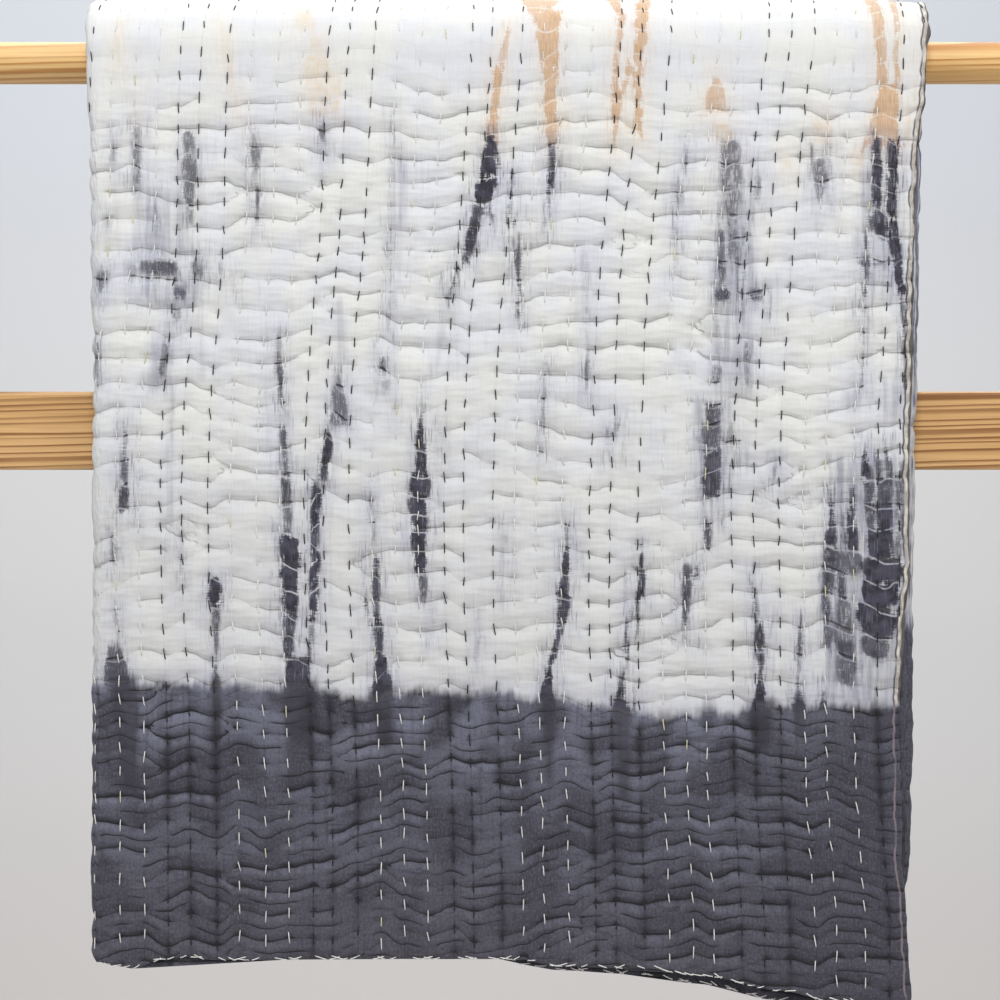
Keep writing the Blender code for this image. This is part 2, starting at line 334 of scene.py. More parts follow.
# %% [markdown]
# ## Reading the crease network
#
# For any place we find the two rows it lies between and follow all creases there. Three things come out: the
# pull, which is how far all creases together draw the cloth down; the turn, which goes once round from one
# crease to the next, so that a crease is where it is zero; and the power of the nearest crease.

# %% Crease fields
CREASE_SPREAD, PILLOW_ROUND = 0.0034, 0.0075
Gather = namedtuple("Gather", "pull turn power block off")


def gather_at(x, reach):
    """The gather at places. Block counts the creases passed, and off is metres off the nearest."""
    x, reach = np.broadcast_arrays(np.atleast_1d(x), np.atleast_1d(reach))
    shape, x, reach = x.shape, x.ravel(), reach.ravel()
    row = row_number(x, reach)
    low = np.clip(np.floor(row).astype(int), 0, len(CREASES) - 1)
    between = np.clip(row - low, 0.0, 1.0)
    pull, turn, power, block, off = np.zeros((5, len(x)))
    for number in np.unique(low):
        here = np.nonzero(low == number)[0]
        lines, t = CREASES[number], between[here]
        count = np.arange(len(lines.first))[:, None]
        wave = 0.0011 * value_noise(x[here] / 0.008, count * 3.7 + number * 0.9, 14)
        run = lines.first[:, None] + (lines.second - lines.first)[:, None] * smooth(t)
        run = run + wave * np.minimum(4.0 * t * (1.0 - t) + 0.3, 1.0)
        away = reach[here] - run
        strength = lines.strength[:, None] * (1.0 - lines.fade[:, None] * 4.0 * t * (1.0 - t))
        sharp, round_off = np.exp(-np.abs(away) / CREASE_SPREAD), np.exp(-((away / PILLOW_ROUND) ** 2))
        pull[here] = (strength * (0.58 * sharp + 0.42 * round_off)).sum(axis=0)
        passed = np.clip((away >= 0.0).sum(axis=0), 1, len(lines.first) - 1)
        each = np.arange(len(here))
        start, end = run[passed - 1, each], run[passed, each]
        share = np.clip((reach[here] - start) / np.maximum(end - start, 0.0005), 0.0, 1.0)
        nearest = np.where(share < 0.5, passed - 1, passed)
        turn[here] = share
        power[here] = strength[nearest, each]
        block[here] = passed
        off[here] = away[nearest, each]
    return Gather(*(values.reshape(shape) for values in (pull, turn, power, block, off)))


sample = gather_at(np.full(600, 0.36), np.linspace(0.1, 0.6, 600))
print("creases met on the way down:", int(sample.block[-1] - sample.block[0]))

# %% [markdown]
# ## The relief of the quilting
#
# The pulled-in creases leave rounded pillows between them. To that we add a broad unevenness, a dimple at
# each stitch and a shallow valley along each row. This is real height, in metres, that the mesh will carry.
# Over the rod the cloth is stretched, so there only a little of the relief is left.

# %% Relief of the outer face
CREASE_DEPTH = 0.0041
STRETCHED_TO, EASED_BY, STRETCHED_RELIEF = 0.060, 0.070, 0.22
MEAN_PULL = 0.42
ROW_SPACING = 0.0168
ROW_VALLEY, VALLEY_WIDTH = 0.00035, 0.0018
DIMPLE, DIMPLE_WIDTH, DIMPLE_LENGTH = 0.0006, 0.0028, 0.0032


def slack(reach):
    """Share of the relief that is left where the cloth is stretched over the rod, and 1 where it hangs."""
    eased = smooth((np.abs(reach) - STRETCHED_TO) / EASED_BY)
    return STRETCHED_RELIEF + (1.0 - STRETCHED_RELIEF) * eased


def relief(x, reach, gather=None):
    """Height of the quilting above or below the layer's mean face."""
    gather = gather or gather_at(x, reach)
    row = row_number(x, reach)
    off_row = (row - np.round(row)) * ROW_SPACING
    dimple = np.exp(-((off_row / DIMPLE_WIDTH) ** 2) - (gather.off / DIMPLE_LENGTH) ** 2)
    valley = np.exp(-((off_row / VALLEY_WIDTH) ** 2))
    broad = 0.0009 * value_noise(x / 0.055, reach / 0.040, 31)
    small = 0.0005 * value_noise(x / 0.016, reach / 0.012, 32)
    pillow = np.maximum(MEAN_PULL - gather.pull, -0.85)
    return (CREASE_DEPTH * pillow - ROW_VALLEY * valley - DIMPLE * dimple + broad + small) * slack(reach)


def loft(x, reach, layer):
    """How far a flap swings away from the rail towards its hem, and the layers from each other."""
    drop = np.abs(reach) - ARCH_REACH
    amount = smooth((drop - BILLOW_START) / (FRONT_HEMS[0].outer - BILLOW_START))
    swing = 0.6 + 0.4 * np.sin(11.0 * x + np.where(reach > 0.0, 0.4, 2.1))
    return amount * (BILLOW * swing + LAYER_SPREAD * (3.0 - layer))


def on_path(x, reach, height):
    """Points in the room for places on the folded cloth: the two flaps and the arch between them."""
    x, reach, height = np.broadcast_arrays(x, reach, height)
    radius = INNER_RADIUS + height
    turn = (1.0 - np.clip(reach / ARCH_REACH, -1.0, 1.0)) * np.pi / 2.0
    over = np.maximum(np.abs(reach) - ARCH_REACH, 0.0)
    return np.stack([x, -radius * np.cos(turn), radius * np.sin(turn) - over], axis=-1)


HEM_THINNING = 0.0024
HEM_THIN_FROM = 0.034
ROLL_WIDTH = 0.0034
ROLL_RISE = 0.0010
ROUNDING = 0.0018
HEM_ROUNDING, HEM_ROUND_DEPTH = 0.0030, 0.0026


def edge_round(distance, radius, depth):
    """Drop of a rounded edge at a distance in from it."""
    inward = 1.0 - np.clip(distance / radius, 0.0, 1.0)
    return depth * (1.0 - np.sqrt(np.maximum(1.0 - inward * inward, 0.0)))


def outer_height(x, reach, gather=None):
    """Height of the outermost face, with its thin side hem, its rolled edge and its rounded lower hems."""
    to_side = from_table(EDGES, "reach", "outer_hem", reach) - x
    to_hem = hem_drop(x, 0, reach > 0.0) - (np.abs(reach) - ARCH_REACH)
    calm = smooth(to_side / 0.012) * smooth(to_hem / 0.010)
    height = OUTER_FACE + loft(x, reach, 0) + relief(x, reach, gather) * (0.30 + 0.70 * calm)
    height -= HEM_THINNING * smooth(1.0 - to_side / HEM_THIN_FROM)
    height += ROLL_RISE * np.sin(np.pi * np.clip(to_side / ROLL_WIDTH, 0.0, 1.0))
    height -= edge_round(to_side, ROUNDING, ROUNDING)
    height -= edge_round(to_hem, HEM_ROUNDING, HEM_ROUND_DEPTH)
    return height


sample = outer_height(np.full(400, 0.35), np.linspace(0.1, 0.6, 400))
print("quilting relief spans", round(float(np.ptp(sample)) * 1000, 2), "mm")

# %% [markdown]
# ## One continuous sheet
#
# The quilt could be four separate slabs, but real cloth turns at its folds and goes back. So we walk around
# the outline of its section once: along one face of the band from hem to hem, and back along the other face.
# Each place on that outline becomes a column of points that runs over the rod from hem to hem. Neighbouring
# columns are then bridged, and the two ends are closed. Faces that can't be seen keep few points.

# %% Stations around the section
FINE_COLUMNS = 216
SECOND_COLUMNS = 30
HIDDEN_COLUMNS = 4
FOLD_STEPS = 8
USUAL_WIDTH, USUAL_DROP = 0.57, 0.645
Station = namedtuple("Station", "along share edge bulge height layer fine")


def flat_face(height, layer, shares, edge, fine):
    """Stations along a face of one layer. Even layers run right to left along the band, odd ones back."""
    stations = []
    for share in sorted(shares, reverse=layer % 2 == 0):
        along = layer + 0.5 * (share if layer % 2 else 1.0 - share)
        stations.append(Station(along, share, edge, 0.0, height, layer, fine))
    return stations


def fold_arc(low, high, upper_layer, side, fine, steps):
    """Half-round stations of a fold, from its high end to its low end."""
    stations = []
    edge, share = ("left_fold", 0.0) if side < 0 else ("inner_fold", 1.0)
    for step in range(1, steps):
        turned = step / steps
        along = upper_layer + 0.5 + 0.5 * turned
        height = (low + high) / 2 + FOLD_RADIUS * math.cos(math.pi * turned)
        bulge = side * FOLD_RADIUS * math.sin(math.pi * turned)
        stations.append(Station(along, share, edge, bulge, height, upper_layer + turned, fine))
    return stations


def even_shares(columns):
    """Shares from the left fold to the right edge."""
    return [i / columns for i in range(columns + 1)]


hem_shares = [1.0 - distance / USUAL_WIDTH for distance in (0.0004, 0.0010, 0.0018, 0.0030, 0.0042)]
hidden, visible_second = even_shares(HIDDEN_COLUMNS), even_shares(SECOND_COLUMNS)
second_bottom, second_top = LAYER_PITCH * 2, LAYER_PITCH * 2 + LAYER
third_top = LAYER_PITCH + LAYER
first_side = flat_face(OUTER_FACE, 0, even_shares(FINE_COLUMNS) + hem_shares, "outer_hem", True)
first_side += fold_arc(second_bottom, OUTER_FACE, 0, -1, True, FOLD_STEPS)
first_side += flat_face(second_bottom, 1, hidden, "inner_fold", False)
first_side += flat_face(third_top, 2, hidden, "inner_fold", False)
first_side += fold_arc(0.0, third_top, 2, -1, False, FOLD_STEPS)
first_side += flat_face(0.0, 3, hidden, "outer_hem", False)
other_side = flat_face(LAYER_PITCH * 3, 0, hidden, "outer_hem", False)
other_side += flat_face(second_top, 1, visible_second, "inner_fold", False)
other_side += fold_arc(LAYER_PITCH, second_top, 1, 1, True, FOLD_STEPS)
other_side += flat_face(LAYER_PITCH, 2, hidden, "inner_fold", False)
other_side += flat_face(LAYER, 3, hidden, "outer_hem", False)
print(len(first_side), "stations on one side of the band,", len(other_side), "on the other")

# %% [markdown]
# ## Rows of points over the rod
#
# A flap's rows are fractions of its own drop, so the last row follows the hem exactly, however it slopes. As
# X and reach depend on each other, each point starts from a first guess of the drop and is worked out twice.
# A few extra rows crowd together at the hem, where the edge turns round. The arch is stepped by its angle.
# The front, which is looked at most closely, gets the finest rows.

# %% Rows from the front hem to the rear hem
FRONT_ROWS, ARCH_ROWS, REAR_ROWS = 184, 40, 118
HIDDEN_STEP, FIRST_GUESS = 6, 0.64
near_hem = [1.0 - distance / USUAL_DROP for distance in (0.0, 0.0005, 0.0013, 0.0024)]
front_amounts = near_hem + [1.0 - i / FRONT_ROWS for i in range(1, FRONT_ROWS)]
arch_amounts = [1.0 - 2.0 * i / ARCH_ROWS for i in range(ARCH_ROWS + 1)]
rear_amounts = [(i + 1) / REAR_ROWS for i in range(REAR_ROWS - 1)] + near_hem[::-1]
ROW_SIGN = np.repeat([1.0, 0.0, -1.0], [len(front_amounts), len(arch_amounts), len(rear_amounts)])
ROW_AMOUNT = np.array(front_amounts + arch_amounts + rear_amounts)
arch_start, arch_end = len(front_amounts), len(front_amounts) + ARCH_ROWS
ALL_ROWS = np.arange(len(ROW_SIGN))
FEW_ROWS = np.array(
    list(range(0, arch_start, HIDDEN_STEP))
    + list(range(arch_start, arch_end + 1, 2))
    + sorted(range(len(ROW_SIGN) - 1, arch_end, -HIDDEN_STEP))
)


def station_reach_and_x(station, rows):
    """Reach and X of a station's points. X depends on the reach and the reach on the hem at that X."""
    sign, amount = ROW_SIGN[rows], ROW_AMOUNT[rows]
    reach = np.where(sign == 0.0, amount * ARCH_REACH, sign * (ARCH_REACH + amount * FIRST_GUESS))
    for _ in range(2):
        left = from_table(EDGES, "reach", "left_fold", reach) + FOLD_RADIUS
        right = left
        if station.edge != "left_fold":
            right = from_table(EDGES, "reach", station.edge, reach)
        if station.edge == "inner_fold":
            right = right - FOLD_RADIUS
        x = left + station.share * (right - left) + station.bulge
        drop = amount * hem_drop(x, station.layer, sign > 0.0)
        reach = np.where(sign == 0.0, amount * ARCH_REACH, sign * (ARCH_REACH + drop))
    return reach, x


def station_points(station, rows):
    """Points of one column, with the relief where it shows, and their places on the cloth."""
    reach, x = station_reach_and_x(station, rows)
    ragged = 0.0005 * value_noise(x / 0.004, reach / 0.005, 41)
    height = station.height + loft(x, reach, station.layer)
    if station.fine:
        gather = gather_at(x, reach)
        pillow = np.clip(MEAN_PULL - gather.pull, -0.7, 0.3)
    if station.fine and station.layer == 0:
        height = outer_height(x, reach, gather)
        lumps = 0.0008 * value_noise(station.share, reach / 0.007, 42)
        x = x + (ragged * 1.6 + lumps + 0.0018 * pillow) * smooth((station.share - 0.985) / 0.015)
    if station.fine and station.bulge != 0.0:
        turned = station.layer - math.floor(station.layer)
        lumps = 0.0006 * value_noise(station.bulge / 0.004, reach / 0.009, 43)
        x = x + np.sign(station.bulge) * (0.0024 * pillow * math.sin(math.pi * turned) + ragged + lumps)
        if math.floor(station.layer) == 0:
            height = height + relief(x, reach, gather) * (1.0 - turned)
    return on_path(x, reach, height), reach, x


print(len(ALL_ROWS), "rows on the faces that show,", len(FEW_ROWS), "on the hidden ones")

# %% [markdown]
# ## Bridging columns of different density
#
# Two columns are joined by walking up both at once. Where both have the next row, a four-sided face is made.
# Where only one has it, a triangle fans out to the other. The same walk closes the hems at both ends, where
# the two sides of the band also have different numbers of points.

# %% Build the sheet


def bridge(faces, keys_a, verts_a, keys_b, verts_b):
    """Close the strip between two chains of vertex numbers whose first and last keys match."""
    a = b = 0
    last_a, last_b = len(keys_a) - 1, len(keys_b) - 1
    while a < last_a or b < last_b:
        next_a = keys_a[a + 1] if a < last_a else math.inf
        next_b = keys_b[b + 1] if b < last_b else math.inf
        if next_a == next_b:
            faces.append((verts_a[a], verts_a[a + 1], verts_b[b + 1], verts_b[b]))
            a, b = a + 1, b + 1
        elif next_a < next_b:
            faces.append((verts_a[a], verts_a[a + 1], verts_b[b]))
            a += 1
        else:
            faces.append((verts_a[a], verts_b[b + 1], verts_b[b]))
            b += 1


sheet_points, sheet_reach, sheet_x, sheet_layer, columns = [], [], [], [], {}
total = 0
for side, stations in enumerate((first_side, other_side)):
    for index, station in enumerate(stations):
        rows = ALL_ROWS if station.fine else FEW_ROWS
        points, reach, x = station_points(station, rows)
        sheet_points.append(points)
        sheet_reach.append(reach)
        sheet_x.append(x)
        sheet_layer.append(np.full(len(rows), float(station.layer)))
        columns[side, index] = (rows.tolist(), list(range(total, total + len(rows))))
        total += len(rows)
sheet_points = np.concatenate(sheet_points)
sheet_reach, sheet_x, sheet_layer = map(np.concatenate, (sheet_reach, sheet_x, sheet_layer))

sheet_faces = []
around = [(0, i) for i in range(len(first_side))] + [(1, i) for i in reversed(range(len(other_side)))]
for here, there in zip(around, around[1:] + around[:1]):
    bridge(sheet_faces, *columns[here], *columns[there])
for end in (0, -1):
    chains = []
    for side, stations in enumerate((first_side, other_side)):
        ends = [columns[side, i][1][end] for i in range(len(stations))]
        chains.append(([s.along for s in stations], ends))
    closing = []
    bridge(closing, *chains[0], *chains[1])
    sheet_faces += closing if end == -1 else [face[::-1] for face in closing]
triangles = sum(len(face) - 2 for face in sheet_faces)
print("sheet:", total, "points,", triangles, "triangles")

# %% [markdown]
# ## From numbers to a mesh
#
# A mesh made with from_pydata takes the points and faces as they are. The faces must all look outward, which
# one call puts right, and smooth shading hides the small facets.

# %% Make the quilt's mesh


def add_piece(name, points, faces):
    """A smooth-shaded object from points and faces."""
    mesh = bpy.data.meshes.new(name)
    mesh.from_pydata([tuple(p) for p in points], [], faces)
    mesh.update()
    mesh.shade_smooth()
    piece = bpy.data.objects.new(name, mesh)
    bpy.context.scene.collection.objects.link(piece)
    return piece


def signed_volume(points, faces):
    """Volume inside a closed mesh, negative if its faces look inward."""
    fans = [(f[0], f[i], f[i + 1]) for f in faces for i in range(1, len(f) - 1)]
    first, second, third = points[np.array(fans)].swapaxes(0, 1)
    return float(np.einsum("ij,ij->i", first, np.cross(second, third)).sum() / 6.0)


volume = signed_volume(sheet_points, sheet_faces)
if volume < 0.0:
    sheet_faces = [face[::-1] for face in sheet_faces]
quilt = add_piece("quilt_cloth", sheet_points, sheet_faces)
print("quilt volume:", round(abs(volume) * 1000, 2), "litres")

# %% [markdown]
# ## Where the dye went
#
# The cloth was pleated, tied and dipped, so the dye ran up the folds in long strokes. Each main stroke is one
# row of a table: the heights of its top and foot, its place across at both, its width at the top, the
# middle and the foot, how dark it is, and how much the tied creases kept the dye out. The first seven are in
# units of the picture. Straight tapered strokes are enough, because the fraying comes later.

# %% Strokes of charcoal dye
Stroke = namedtuple("Stroke", "top foot x_top x_foot w_top w_middle w_foot dark resist")
STROKES = [Stroke(*row) for row in (
    (138, 165, 115, 115, 6, 8, 6, 0.5, 0), (134, 193, 136, 137, 11, 11, 8, 0.6, 0.5),
    (212, 228, 107, 107, 3, 6, 3, 0.5, 0), (200, 234, 155, 154, 4, 5, 3, 0.6, 0),
    (124, 222, 189, 190, 12, 18, 5, 0.58, 0.6), (130, 172, 254, 256, 6, 14, 7, 0.55, 0.3),
    (168, 228, 257, 257, 5, 6, 3, 0.7, 0), (120, 142, 320, 322, 5, 7, 6, 0.75, 0),
    (258, 278, 158, 158, 34, 42, 36, 0.72, 0), (256, 279, 197, 197, 11, 13, 11, 0.7, 0),
    (264, 277, 219, 219, 5, 7, 5, 0.6, 0), (268, 296, 102, 101, 12, 11, 7, 0.65, 0),
    (284, 302, 180, 180, 13, 16, 10, 0.7, 0), (308, 322, 177, 176, 10, 11, 7, 0.55, 0),
    (340, 380, 97, 96, 6, 9, 6, 0.65, 0.3), (340, 380, 166, 161, 9, 11, 9, 0.62, 0),
    (425, 484, 125, 124, 4, 7, 10, 0.78, 0), (492, 520, 124, 124, 10, 12, 14, 0.78, 0.6),
    (536, 565, 114, 112, 5, 6, 4, 0.7, 0), (537, 578, 177, 182, 3, 4, 3, 0.6, 0),
    (336, 410, 278, 282, 4, 9, 4, 0.68, 0), (433, 523, 284, 288, 9, 11, 10, 0.75, 0.7),
    (522, 545, 289, 289, 13, 14, 13, 0.88, 0.8), (545, 620, 289, 290, 20, 22, 17, 1, 0.9),
    (618, 656, 290, 288, 16, 13, 10, 0.78, 0.7), (656, 706, 298, 298, 24, 27, 34, 0.95, 0.4),
    (361, 428, 339, 339, 5, 14, 20, 0.62, 0.4), (431, 482, 330, 321, 9, 12, 11, 0.88, 0.4),
    (482, 604, 316, 314, 11, 10, 11, 0.9, 0.9), (604, 656, 313, 310, 10, 8, 6, 0.85, 0.7),
    (490, 545, 371, 374, 2, 5, 5, 0.8, 0), (545, 618, 376, 377, 6, 9, 7, 0.92, 0.5),
    (618, 704, 378, 383, 11, 11, 28, 1, 0.4), (556, 612, 363, 367, 3, 5, 4, 0.62, 0),
    (568, 604, 216, 216, 9, 16, 15, 0.93, 0.6), (604, 650, 216, 216, 13, 9, 3, 0.74, 0.5),
    (663, 706, 216, 217, 4, 7, 14, 0.9, 0), (600, 646, 117, 118, 4, 6, 6, 0.52, 0.3),
    (645, 704, 115, 119, 14, 24, 36, 0.80, 0.4), (120, 160, 391, 397, 2, 3, 2, 0.6, 0),
    (228, 333, 391, 388, 3, 4, 3, 0.6, 0), (355, 374, 384, 384, 5, 9, 6, 0.75, 0),
    (378, 392, 385, 385, 14, 16, 10, 0.42, 0), (140, 174, 491, 489, 7, 16, 21, 0.9, 0.5),
    (172, 206, 488, 484, 22, 24, 18, 1, 0.8), (204, 264, 479, 465, 12, 12, 11, 0.93, 0.4),
    (204, 231, 491, 490, 8, 7, 3, 0.72, 0), (262, 304, 460, 448, 8, 7, 3, 0.75, 0),
    (172, 230, 512, 509, 4, 4, 3, 0.8, 0), (218, 264, 516, 518, 3, 4, 8, 0.8, 0),
    (250, 320, 518, 519, 11, 5, 5, 0.85, 0.3), (142, 190, 552, 551, 9, 10, 8, 0.9, 0.4),
    (188, 234, 550, 546, 7, 5, 2, 0.7, 0.3), (258, 354, 584, 588, 4, 3, 3, 0.42, 0),
    (354, 395, 587, 585, 5, 6, 3, 0.68, 0), (365, 452, 546, 541, 3, 4, 3, 0.75, 0),
    (422, 432, 618, 618, 8, 11, 7, 0.7, 0), (388, 424, 421, 421, 2, 3, 3, 0.5, 0),
    (422, 482, 421, 420, 3, 11, 15, 0.96, 0.5), (481, 523, 420, 419, 19, 20, 18, 1, 0.95),
    (523, 566, 419, 420, 17, 16, 13, 1, 0.95), (566, 604, 420, 424, 13, 13, 6, 0.62, 0.3),
    (520, 600, 503, 503, 3, 3, 2, 0.45, 0), (612, 680, 478, 476, 2, 3, 2, 0.5, 0),
    (520, 560, 566, 566, 4, 5, 5, 0.9, 0), (556, 616, 566, 563, 5, 12, 11, 1, 0.6),
    (614, 668, 562, 549, 11, 9, 5, 0.95, 0.6), (666, 714, 548, 547, 8, 12, 26, 0.95, 0.4),
    (545, 602, 642, 640, 3, 8, 8, 0.9, 0.3), (600, 640, 639, 636, 7, 5, 3, 0.78, 0),
    (604, 680, 629, 624, 2, 5, 3, 0.9, 0), (676, 722, 622, 621, 5, 14, 28, 0.95, 0),
    (147, 176, 688, 683, 3, 5, 4, 0.62, 0), (180, 206, 678, 678, 9, 13, 9, 0.42, 0.3),
    (206, 266, 677, 676, 4, 4, 2, 0.65, 0), (148, 184, 729, 731, 20, 26, 25, 0.6, 0.6),
    (184, 268, 732, 731, 20, 13, 8, 0.5, 0.6), (204, 270, 720, 720, 3, 4, 3, 0.68, 0),
    (176, 206, 758, 756, 6, 10, 6, 0.52, 0), (220, 322, 747, 741, 3, 4, 3, 0.72, 0),
    (286, 302, 722, 722, 15, 18, 15, 0.68, 0.4), (286, 302, 756, 756, 14, 16, 13, 0.62, 0.4),
    (302, 356, 717, 717, 4, 3, 3, 0.5, 0), (340, 388, 747, 747, 11, 12, 8, 0.5, 0.4),
    (364, 388, 717, 715, 12, 12, 9, 0.5, 0.4), (402, 428, 713, 712, 17, 18, 15, 0.7, 0.4),
    (432, 456, 712, 712, 22, 22, 18, 0.7, 0.5), (436, 444, 719, 719, 38, 44, 38, 0.75, 0),
    (420, 480, 732, 732, 4, 4, 2, 0.66, 0), (455, 509, 712, 711, 20, 19, 14, 0.86, 0.6),
    (518, 552, 708, 708, 8, 10, 6, 0.7, 0.4), (562, 640, 687, 684, 10, 11, 2, 0.8, 0.4),
    (562, 590, 696, 693, 5, 7, 4, 0.8, 0.3), (464, 484, 775, 774, 4, 7, 3, 0.5, 0),
    (143, 180, 811, 813, 4, 5, 4, 0.62, 0.3), (143, 186, 830, 828, 4, 5, 4, 0.62, 0.3),
    (150, 202, 821, 818, 12, 17, 5, 0.56, 0.5), (146, 206, 877, 878, 8, 11, 9, 0.9, 0.5),
    (148, 222, 893, 892, 10, 13, 10, 0.93, 0.5), (209, 238, 880, 880, 16, 18, 15, 0.96, 0.9),
    (204, 298, 868, 866, 5, 7, 5, 0.82, 0.3), (218, 296, 892, 902, 10, 11, 9, 0.95, 0.4),
    # The second stroke on the next line, at columns 904 to 906, runs along the right edge: partly dye and
    # partly a painted shadow of the edge.
    (258, 268, 870, 872, 26, 30, 26, 0.6, 0), (294, 394, 904, 906, 6, 6, 5, 0.82, 0.2),
    (300, 392, 866, 861, 3, 4, 6, 0.68, 0), (441, 481, 864, 867, 2, 9, 13, 0.94, 0.4),
    (456, 480, 878, 878, 8, 9, 8, 0.75, 0.4), (441, 481, 887, 890, 2, 8, 11, 0.94, 0.4),
    (460, 506, 902, 901, 4, 6, 6, 0.75, 0.4), (480, 546, 831, 831, 4, 7, 12, 0.88, 0.9),
    (480, 546, 853, 853, 5, 10, 12, 0.88, 0.9), (481, 546, 868, 873, 13, 9, 9, 0.85, 0.8),
    (481, 546, 885, 886, 18, 16, 14, 0.92, 0.9), (545, 570, 845, 844, 40, 40, 32, 0.68, 0.5),
    (545, 592, 886, 882, 36, 40, 44, 0.95, 0.95), (590, 614, 879, 879, 42, 42, 40, 1, 0.9),
    (613, 646, 878, 877, 40, 38, 35, 0.87, 0.9), (646, 668, 877, 877, 35, 34, 30, 0.72, 0.8),
    (570, 662, 824, 828, 5, 9, 9, 0.82, 0.7), (570, 600, 841, 841, 9, 12, 10, 0.8, 0.4),
    (644, 678, 846, 846, 14, 16, 6, 0.76, 0.4), (580, 612, 753, 755, 3, 4, 6, 0.86, 0),
    (610, 682, 759, 760, 9, 12, 4, 0.97, 0.5), (678, 724, 760, 759, 5, 14, 30, 0.95, 0.3),
    (614, 682, 801, 799, 3, 7, 3, 0.75, 0.4), (680, 722, 799, 799, 4, 10, 22, 0.88, 0.3),
    (688, 718, 823, 824, 5, 10, 18, 0.85, 0), (594, 676, 845, 846, 20, 26, 20, 0.62, 0.6),
    (545, 592, 828, 829, 12, 14, 10, 0.72, 0.6), (482, 545, 899, 900, 7, 9, 10, 0.72, 0.6),
    (506, 545, 842, 842, 4, 6, 8, 0.55, 0.3), (230, 286, 722, 722, 10, 12, 8, 0.50, 0.4),
    (230, 300, 738, 737, 5, 7, 4, 0.55, 0.3), (262, 284, 131, 132, 8, 9, 6, 0.45, 0.3),
)]
print(len(STROKES), "main strokes of charcoal")

# %% [markdown]
# Three more tables have the same shape. Washes are so thin that they have no edge. The tan strokes near the
# rod are an older, rusty dye that shows where the charcoal didn't reach. And where a stroke ran on into the
# dipped band, the band took more dye and is deeper there.

# %% Washes, tan strokes and deep places in the band
Wash = namedtuple("Wash", "top foot x_top x_foot w_top w_middle w_foot dark")
WASHES = [Wash(*row) for row in (
    (280, 310, 173, 175, 50, 52, 36, 0.34), (190, 258, 160, 162, 60, 50, 56, 0.22),
    (345, 392, 166, 160, 22, 20, 22, 0.26), (158, 232, 397, 397, 18, 20, 16, 0.22),
    (170, 300, 880, 885, 46, 48, 40, 0.22), (186, 400, 737, 733, 36, 40, 34, 0.26),
    (400, 530, 714, 710, 34, 30, 22, 0.30), (378, 420, 893, 893, 20, 24, 16, 0.26),
    (392, 412, 851, 851, 12, 14, 10, 0.26), (456, 704, 864, 862, 70, 80, 74, 0.40),
    (666, 704, 876, 876, 34, 32, 28, 0.3), (606, 644, 842, 842, 14, 16, 12, 0.28),
    (382, 517, 172, 171, 3, 3, 3, 0.42), (300, 380, 201, 202, 5, 6, 4, 0.22),
    (300, 362, 340, 342, 6, 10, 9, 0.26), (302, 376, 446, 433, 3, 5, 5, 0.26),
)]
TANS = [Wash(*row) for row in (
    (30, 70, 509, 500, 4, 7, 8, 0.8), (68, 146, 499, 490, 9, 9, 9, 1), (120, 146, 500, 496, 3, 5, 6, 0.7),
    (0, 18, 538, 542, 46, 34, 26, 0.75), (16, 68, 548, 549, 25, 24, 19, 1),
    (66, 146, 550, 552, 18, 13, 11, 0.95), (114, 130, 565, 564, 8, 9, 4, 0.45),
    (0, 22, 614, 620, 22, 12, 9, 0.85), (20, 92, 621, 615, 8, 7, 6, 0.85),
    (88, 146, 618, 613, 10, 9, 3, 0.95), (0, 62, 650, 638, 15, 15, 13, 1),
    (60, 96, 632, 622, 8, 7, 6, 0.85), (60, 136, 639, 638, 9, 8, 7, 0.95),
    (118, 136, 628, 629, 12, 14, 10, 0.55), (76, 114, 716, 716, 8, 24, 26, 0.7),
    (120, 150, 720, 726, 18, 18, 12, 0.6), (116, 146, 822, 822, 18, 22, 20, 0.45),
    (156, 170, 788, 787, 5, 11, 7, 0.5), (148, 170, 861, 859, 6, 11, 7, 0.5),
    (0, 84, 876, 883, 18, 12, 12, 0.95), (84, 148, 886, 884, 15, 26, 36, 1),
    (0, 110, 899, 896, 9, 7, 5, 0.75), (100, 148, 909, 907, 7, 9, 9, 0.5),
    (4, 120, 921, 916, 6, 6, 6, 0.45), (28, 66, 117, 118, 5, 8, 5, 0.46),
    (2, 36, 300, 306, 16, 22, 20, 0.36), (36, 120, 315, 322, 10, 30, 20, 0.42),
    (78, 118, 335, 336, 8, 13, 6, 0.48), (18, 118, 218, 238, 4, 6, 5, 0.47),
    (104, 128, 137, 139, 3, 4, 3, 0.5),
)]
DEEPS = [Wash(*row) for row in (
    (668, 790, 124, 131, 26, 22, 12, 0.85), (666, 800, 217, 217, 10, 10, 6, 0.85),
    (670, 742, 300, 300, 32, 36, 20, 0.9), (730, 790, 292, 292, 8, 8, 5, 0.5),
    (672, 748, 382, 384, 26, 22, 10, 0.85), (676, 780, 547, 549, 20, 14, 8, 0.75),
    (680, 800, 621, 624, 22, 16, 8, 0.78), (690, 760, 664, 665, 10, 10, 5, 0.65),
    (690, 735, 706, 706, 22, 18, 6, 0.5), (684, 748, 760, 761, 28, 26, 12, 0.88),
    (686, 738, 799, 800, 18, 14, 8, 0.7), (690, 870, 877, 881, 10, 9, 6, 0.65),
    (680, 704, 165, 165, 40, 34, 20, 0.35), (678, 702, 245, 245, 26, 22, 14, 0.35),
    (684, 730, 492, 492, 14, 12, 6, 0.55), (684, 716, 460, 460, 18, 14, 8, 0.4),
)]
print(len(WASHES), "washes,", len(TANS), "tan strokes,", len(DEEPS), "deep places")

# %% [markdown]
# Small flecks and thin trails lie around the main strokes. Nobody would count them, so a loop with a seeded
# generator scatters them: it picks a main stroke, steps a little to the side, and leaves a short, pale mark.

# %% Flecks and trails
FLECKS = 150


